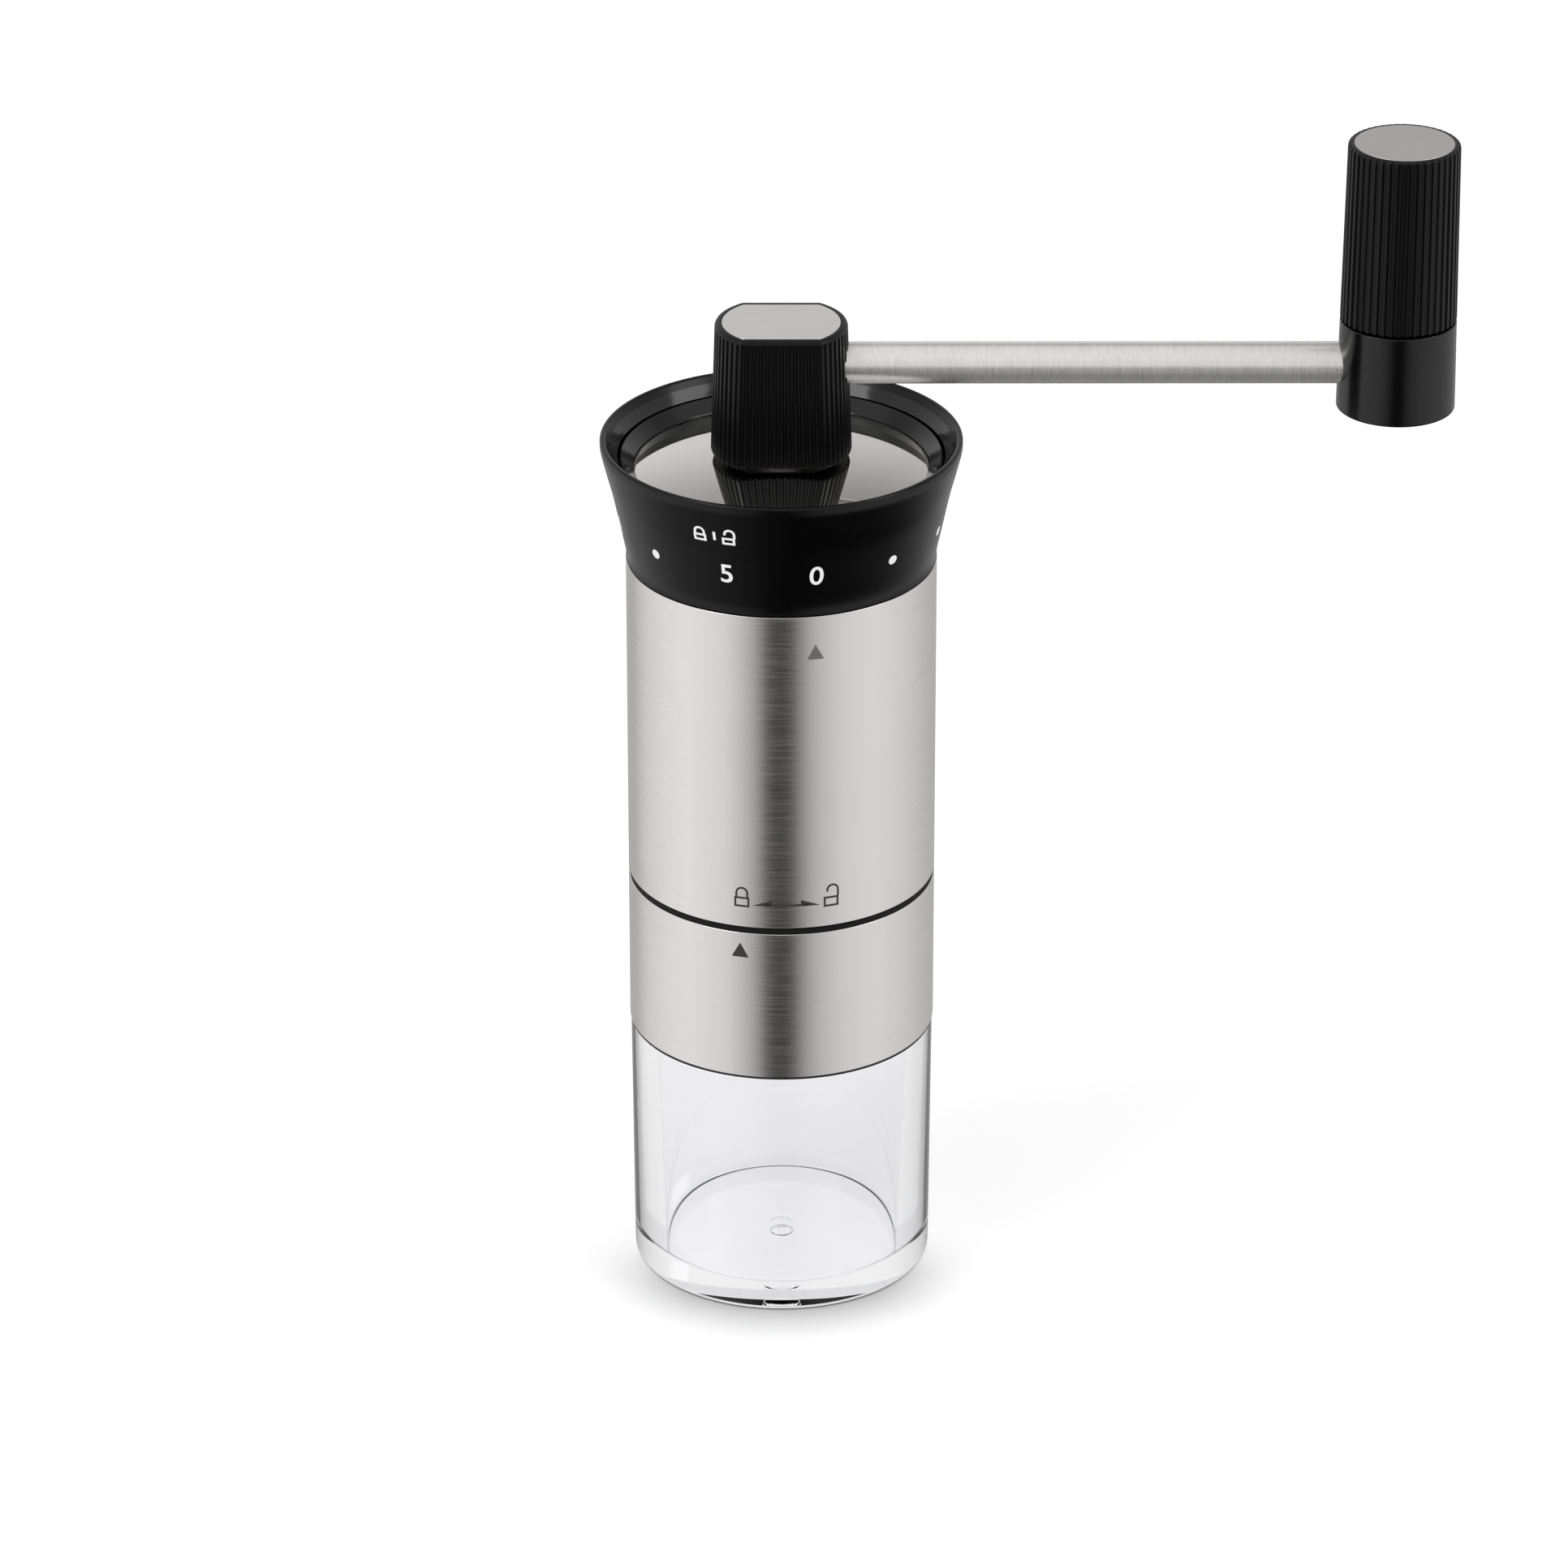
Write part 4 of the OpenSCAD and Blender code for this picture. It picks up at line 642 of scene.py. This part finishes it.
for finish, solids in (
        (black_plastic, ["collar_liner", "inner_frame", "bean_funnel", "knob_core"]),
        (well_black, ["lid_frame"]),
        (seal_rubber, ["joint_seal", "lid_seal"]),
        (white_plastic, ["lid_bush"]),
        (plain_steel, ["lower_bridge", "bridge_screws", "ring_clip", "drive_shaft", "shaft_clips",
                       "burr_washer", "burr_nut", "drive_stem", "stem_clip", "hub_screws", "hub_core",
                       "knob_axle"]),
        (dark_steel, ["adjuster", "grub_screw"]),
        (brass, ["lower_bush", "upper_bush"]),
        (ceramic, ["ring_burr", "cone_burr"])):
    for name in solids:
        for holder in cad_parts[name].material_slots:
            holder.material = finish


# ---------------------------------------------------------------- floor, studio and camera

FLOOR_WHITE = (0.93, 0.93, 0.93, 1)
FLOOR_GAP = 0.03            # mm below the cup's foot
# FOOT_SHADE_REACH is how far the painted shadow at the grinder's foot reaches
FOOT_SHADE_REACH = 14       # mm
GLOW, GLOW_UNDER_CUP, GLOW_BESIDE_CUP = 0.2, 0.33, 0.08


def plain_floor():
    """A white floor. A painted shadow darkens it close to the grinder's foot at the front, and it glows a
    little through the clear cup."""
    bm = bmesh.new()
    bmesh.ops.create_grid(bm, x_segments=1, y_segments=1, size=4,
                          matrix=Matrix.Translation((0, 0, -FLOOR_GAP * MM)))
    mesh = bpy.data.meshes.new("floor")
    bm.to_mesh(mesh)
    bm.free()
    finish, nodes, links, matt = new_finish("floor_white", FLOOR_WHITE[:3], 1, 0, {"Specular IOR Level": 0})
    ray = nodes.new("ShaderNodeLightPath")
    place = nodes.new("ShaderNodeTexCoord")
    reach, around = nodes.new("ShaderNodeVectorMath"), nodes.new("ShaderNodeVectorMath")
    reach.operation, around.operation = "LENGTH", "NORMALIZE"
    for step in (reach, around):
        links.new(place.outputs["Object"], step.inputs[0])
    under = stretched(nodes, links, reach.outputs["Value"], 26 * MM, 28 * MM, GLOW_UNDER_CUP, GLOW_BESIDE_CUP,
                      soft=False)
    inside = maths(nodes, links, "MULTIPLY", ray.outputs["Is Transmission Ray"], under)
    links.new(maths(nodes, links, "MULTIPLY_ADD", ray.outputs["Is Camera Ray"], GLOW, inside),
              matt.inputs["Emission Strength"])
    # Painted shadow: occlusion near the foot, weighted to its front, darkens the floor's colour and glow for
    # camera rays
    painted_shadow_ao = nodes.new("ShaderNodeAmbientOcclusion")
    painted_shadow_ao.samples = 16
    painted_shadow_ao.inputs["Distance"].default_value = FOOT_SHADE_REACH * MM
    painted_shadow_ao.inputs["Normal"].default_value = (0, 0.5, 0.866)
    parts = nodes.new("ShaderNodeSeparateXYZ")
    links.new(around.outputs["Vector"], parts.inputs["Vector"])
    front = stretched(nodes, links, parts.outputs["Y"], 0.15, -0.85, 0, 1)
    close = maths(nodes, links, "MULTIPLY", front, ray.outputs["Is Camera Ray"])
    tone = colour_mix(nodes, links, close, (1, 1, 1, 1), painted_shadow_ao.outputs["Color"])
    links.new(colour_mix(nodes, links, 1, tone, FLOOR_WHITE, "MULTIPLY"), matt.inputs["Base Color"])
    links.new(tone, matt.inputs["Emission Color"])
    mesh.materials.append(finish)
    floor = bpy.data.objects.new("floor", mesh)
    scene.collection.objects.link(floor)
    floor.visible_glossy = False


# What the pieces mirror: (degrees round from the front, brightness) low down, high up and near the floor
LOW_STUDIO = [(-180, 0.46), (-142, 0.47), (-124, 0.72), (-100, 0.88), (-75, 0.98), (-42, 0.86), (-27, 0.62),
              (-18, 0.40), (-11, 0.09), (-4, 0.035), (4, 0.04), (10, 0.14), (16, 0.38), (27, 0.62),
              (45, 0.82), (73, 0.90), (104, 0.76), (132, 0.58), (156, 0.48), (180, 0.46)]
HIGH_STUDIO = [(-180, 0.66), (-170, 0.75), (-110, 0.74), (-60, 0.76), (0, 0.64), (60, 0.72), (110, 0.68),
               (170, 0.57), (180, 0.66)]
DEEP_STUDIO = [(-180, 0.15), (-110, 0.38), (-50, 0.32), (-22, 0.16), (-4, 0.04), (20, 0.02), (140, 0.03),
               (180, 0.15)]


def studio():
    """White to look at; its reflections are a soft studio with a dark gap at the front, low down."""
    world = bpy.data.worlds.new("studio")
    scene.world = world
    world.use_nodes = True
    nodes, links = world.node_tree.nodes, world.node_tree.links
    nodes.clear()
    place = nodes.new("ShaderNodeTexCoord")
    parts = nodes.new("ShaderNodeSeparateXYZ")
    links.new(place.outputs["Generated"], parts.inputs["Vector"])
    back = maths(nodes, links, "MULTIPLY", parts.outputs["Y"], -1)
    turn = maths(nodes, links, "ARCTAN2", parts.outputs["X"], back)
    share = stretched(nodes, links, turn, -math.pi, math.pi, 0, 1, soft=False)

    def band(stops):
        """Brightness all round; negative degrees are to the left of the front."""
        ramp = nodes.new("ShaderNodeValToRGB")
        ramp.color_ramp.interpolation = "LINEAR"
        for i, (degrees, level) in enumerate(stops):
            at = (degrees + 180) / 360
            if i in (0, len(stops) - 1):
                stop = ramp.color_ramp.elements[0 if i == 0 else -1]
                stop.position = at
            else:
                stop = ramp.color_ramp.elements.new(at)
            stop.color = (level, level, level, 1)
        links.new(share, ramp.inputs["Fac"])
        return ramp.outputs["Color"]

    def span(axis, low, high, at_low=0, at_high=1):
        """A soft step along one axis of the direction looked in."""
        return stretched(nodes, links, parts.outputs[axis], low, high, at_low, at_high)

    def light(strength):
        sky = nodes.new("ShaderNodeBackground")
        sky.inputs["Color"].default_value = (1, 1, 1, 1)
        sky.inputs["Strength"].default_value = strength
        return sky

    walls = colour_mix(nodes, links, span("Z", -0.25, 0.1), band(LOW_STUDIO), band(HIGH_STUDIO))
    room = colour_mix(nodes, links, span("Z", -0.72, -0.5), band(DEEP_STUDIO), walls)
    overhead = maths(nodes, links, "MULTIPLY", span("Z", 0.25, 0.74, 0, 0.55), span("Z", 0.78, 0.9, 1, 0))
    dim_behind = maths(nodes, links, "MULTIPLY", overhead, span("Y", 0.05, 0.4))
    reflected, plain, white, through = light(1.0), light(0.8), light(1.0), light(0.93)
    links.new(room, reflected.inputs["Color"])
    links.new(maths(nodes, links, "SUBTRACT", 1, dim_behind), reflected.inputs["Strength"])
    ray = nodes.new("ShaderNodeLightPath")
    shown = plain
    for kind, sky in (("Is Glossy Ray", reflected), ("Is Transmission Ray", through),
                      ("Is Camera Ray", white)):
        choice = nodes.new("ShaderNodeMixShader")
        links.new(ray.outputs[kind], choice.inputs["Fac"])
        links.new(shown.outputs[0], choice.inputs[1])
        links.new(sky.outputs["Background"], choice.inputs[2])
        shown = choice
    out = nodes.new("ShaderNodeOutputWorld")
    links.new(shown.outputs["Shader"], out.inputs["Surface"])


def soft_lamp(name, place, aim, size, power):
    lamp = bpy.data.lights.new(name, "AREA")
    lamp.shape = "RECTANGLE"
    lamp.size, lamp.size_y = size
    lamp.energy = power
    holder = bpy.data.objects.new(name, lamp)
    way = Vector(aim) - Vector(place)
    holder.matrix_world = Matrix.Translation(place) @ way.to_track_quat("-Z", "Y").to_matrix().to_4x4()
    scene.collection.objects.link(holder)
    return holder


plain_floor()
studio()
soft_lamp("lamp_left", (-0.9, -0.7, 1.1), (0, 0, 0.1), (0.7, 0.7), 5.0)
soft_lamp("lamp_right", (1.0, -0.3, 0.9), (0, 0, 0.1), (0.5, 0.7), 2.5)

camera = bpy.data.cameras.new("camera")
camera.sensor_width = 36
camera.lens = 175.51
camera.clip_end = 20
eye = bpy.data.objects.new("camera", camera)
scene.collection.objects.link(eye)
tip, yaw, roll = math.radians(25.60), math.radians(0.021), math.radians(-0.021)
eye.matrix_world = (Matrix.Translation((0, -1.2359, 0.6851)) @ Matrix.Rotation(-yaw, 4, "Z")
                    @ Matrix.Rotation(math.pi / 2 - tip, 4, "X") @ Matrix.Rotation(roll, 4, "Z"))
scene.camera = eye
scene.view_settings.view_transform = "Standard"
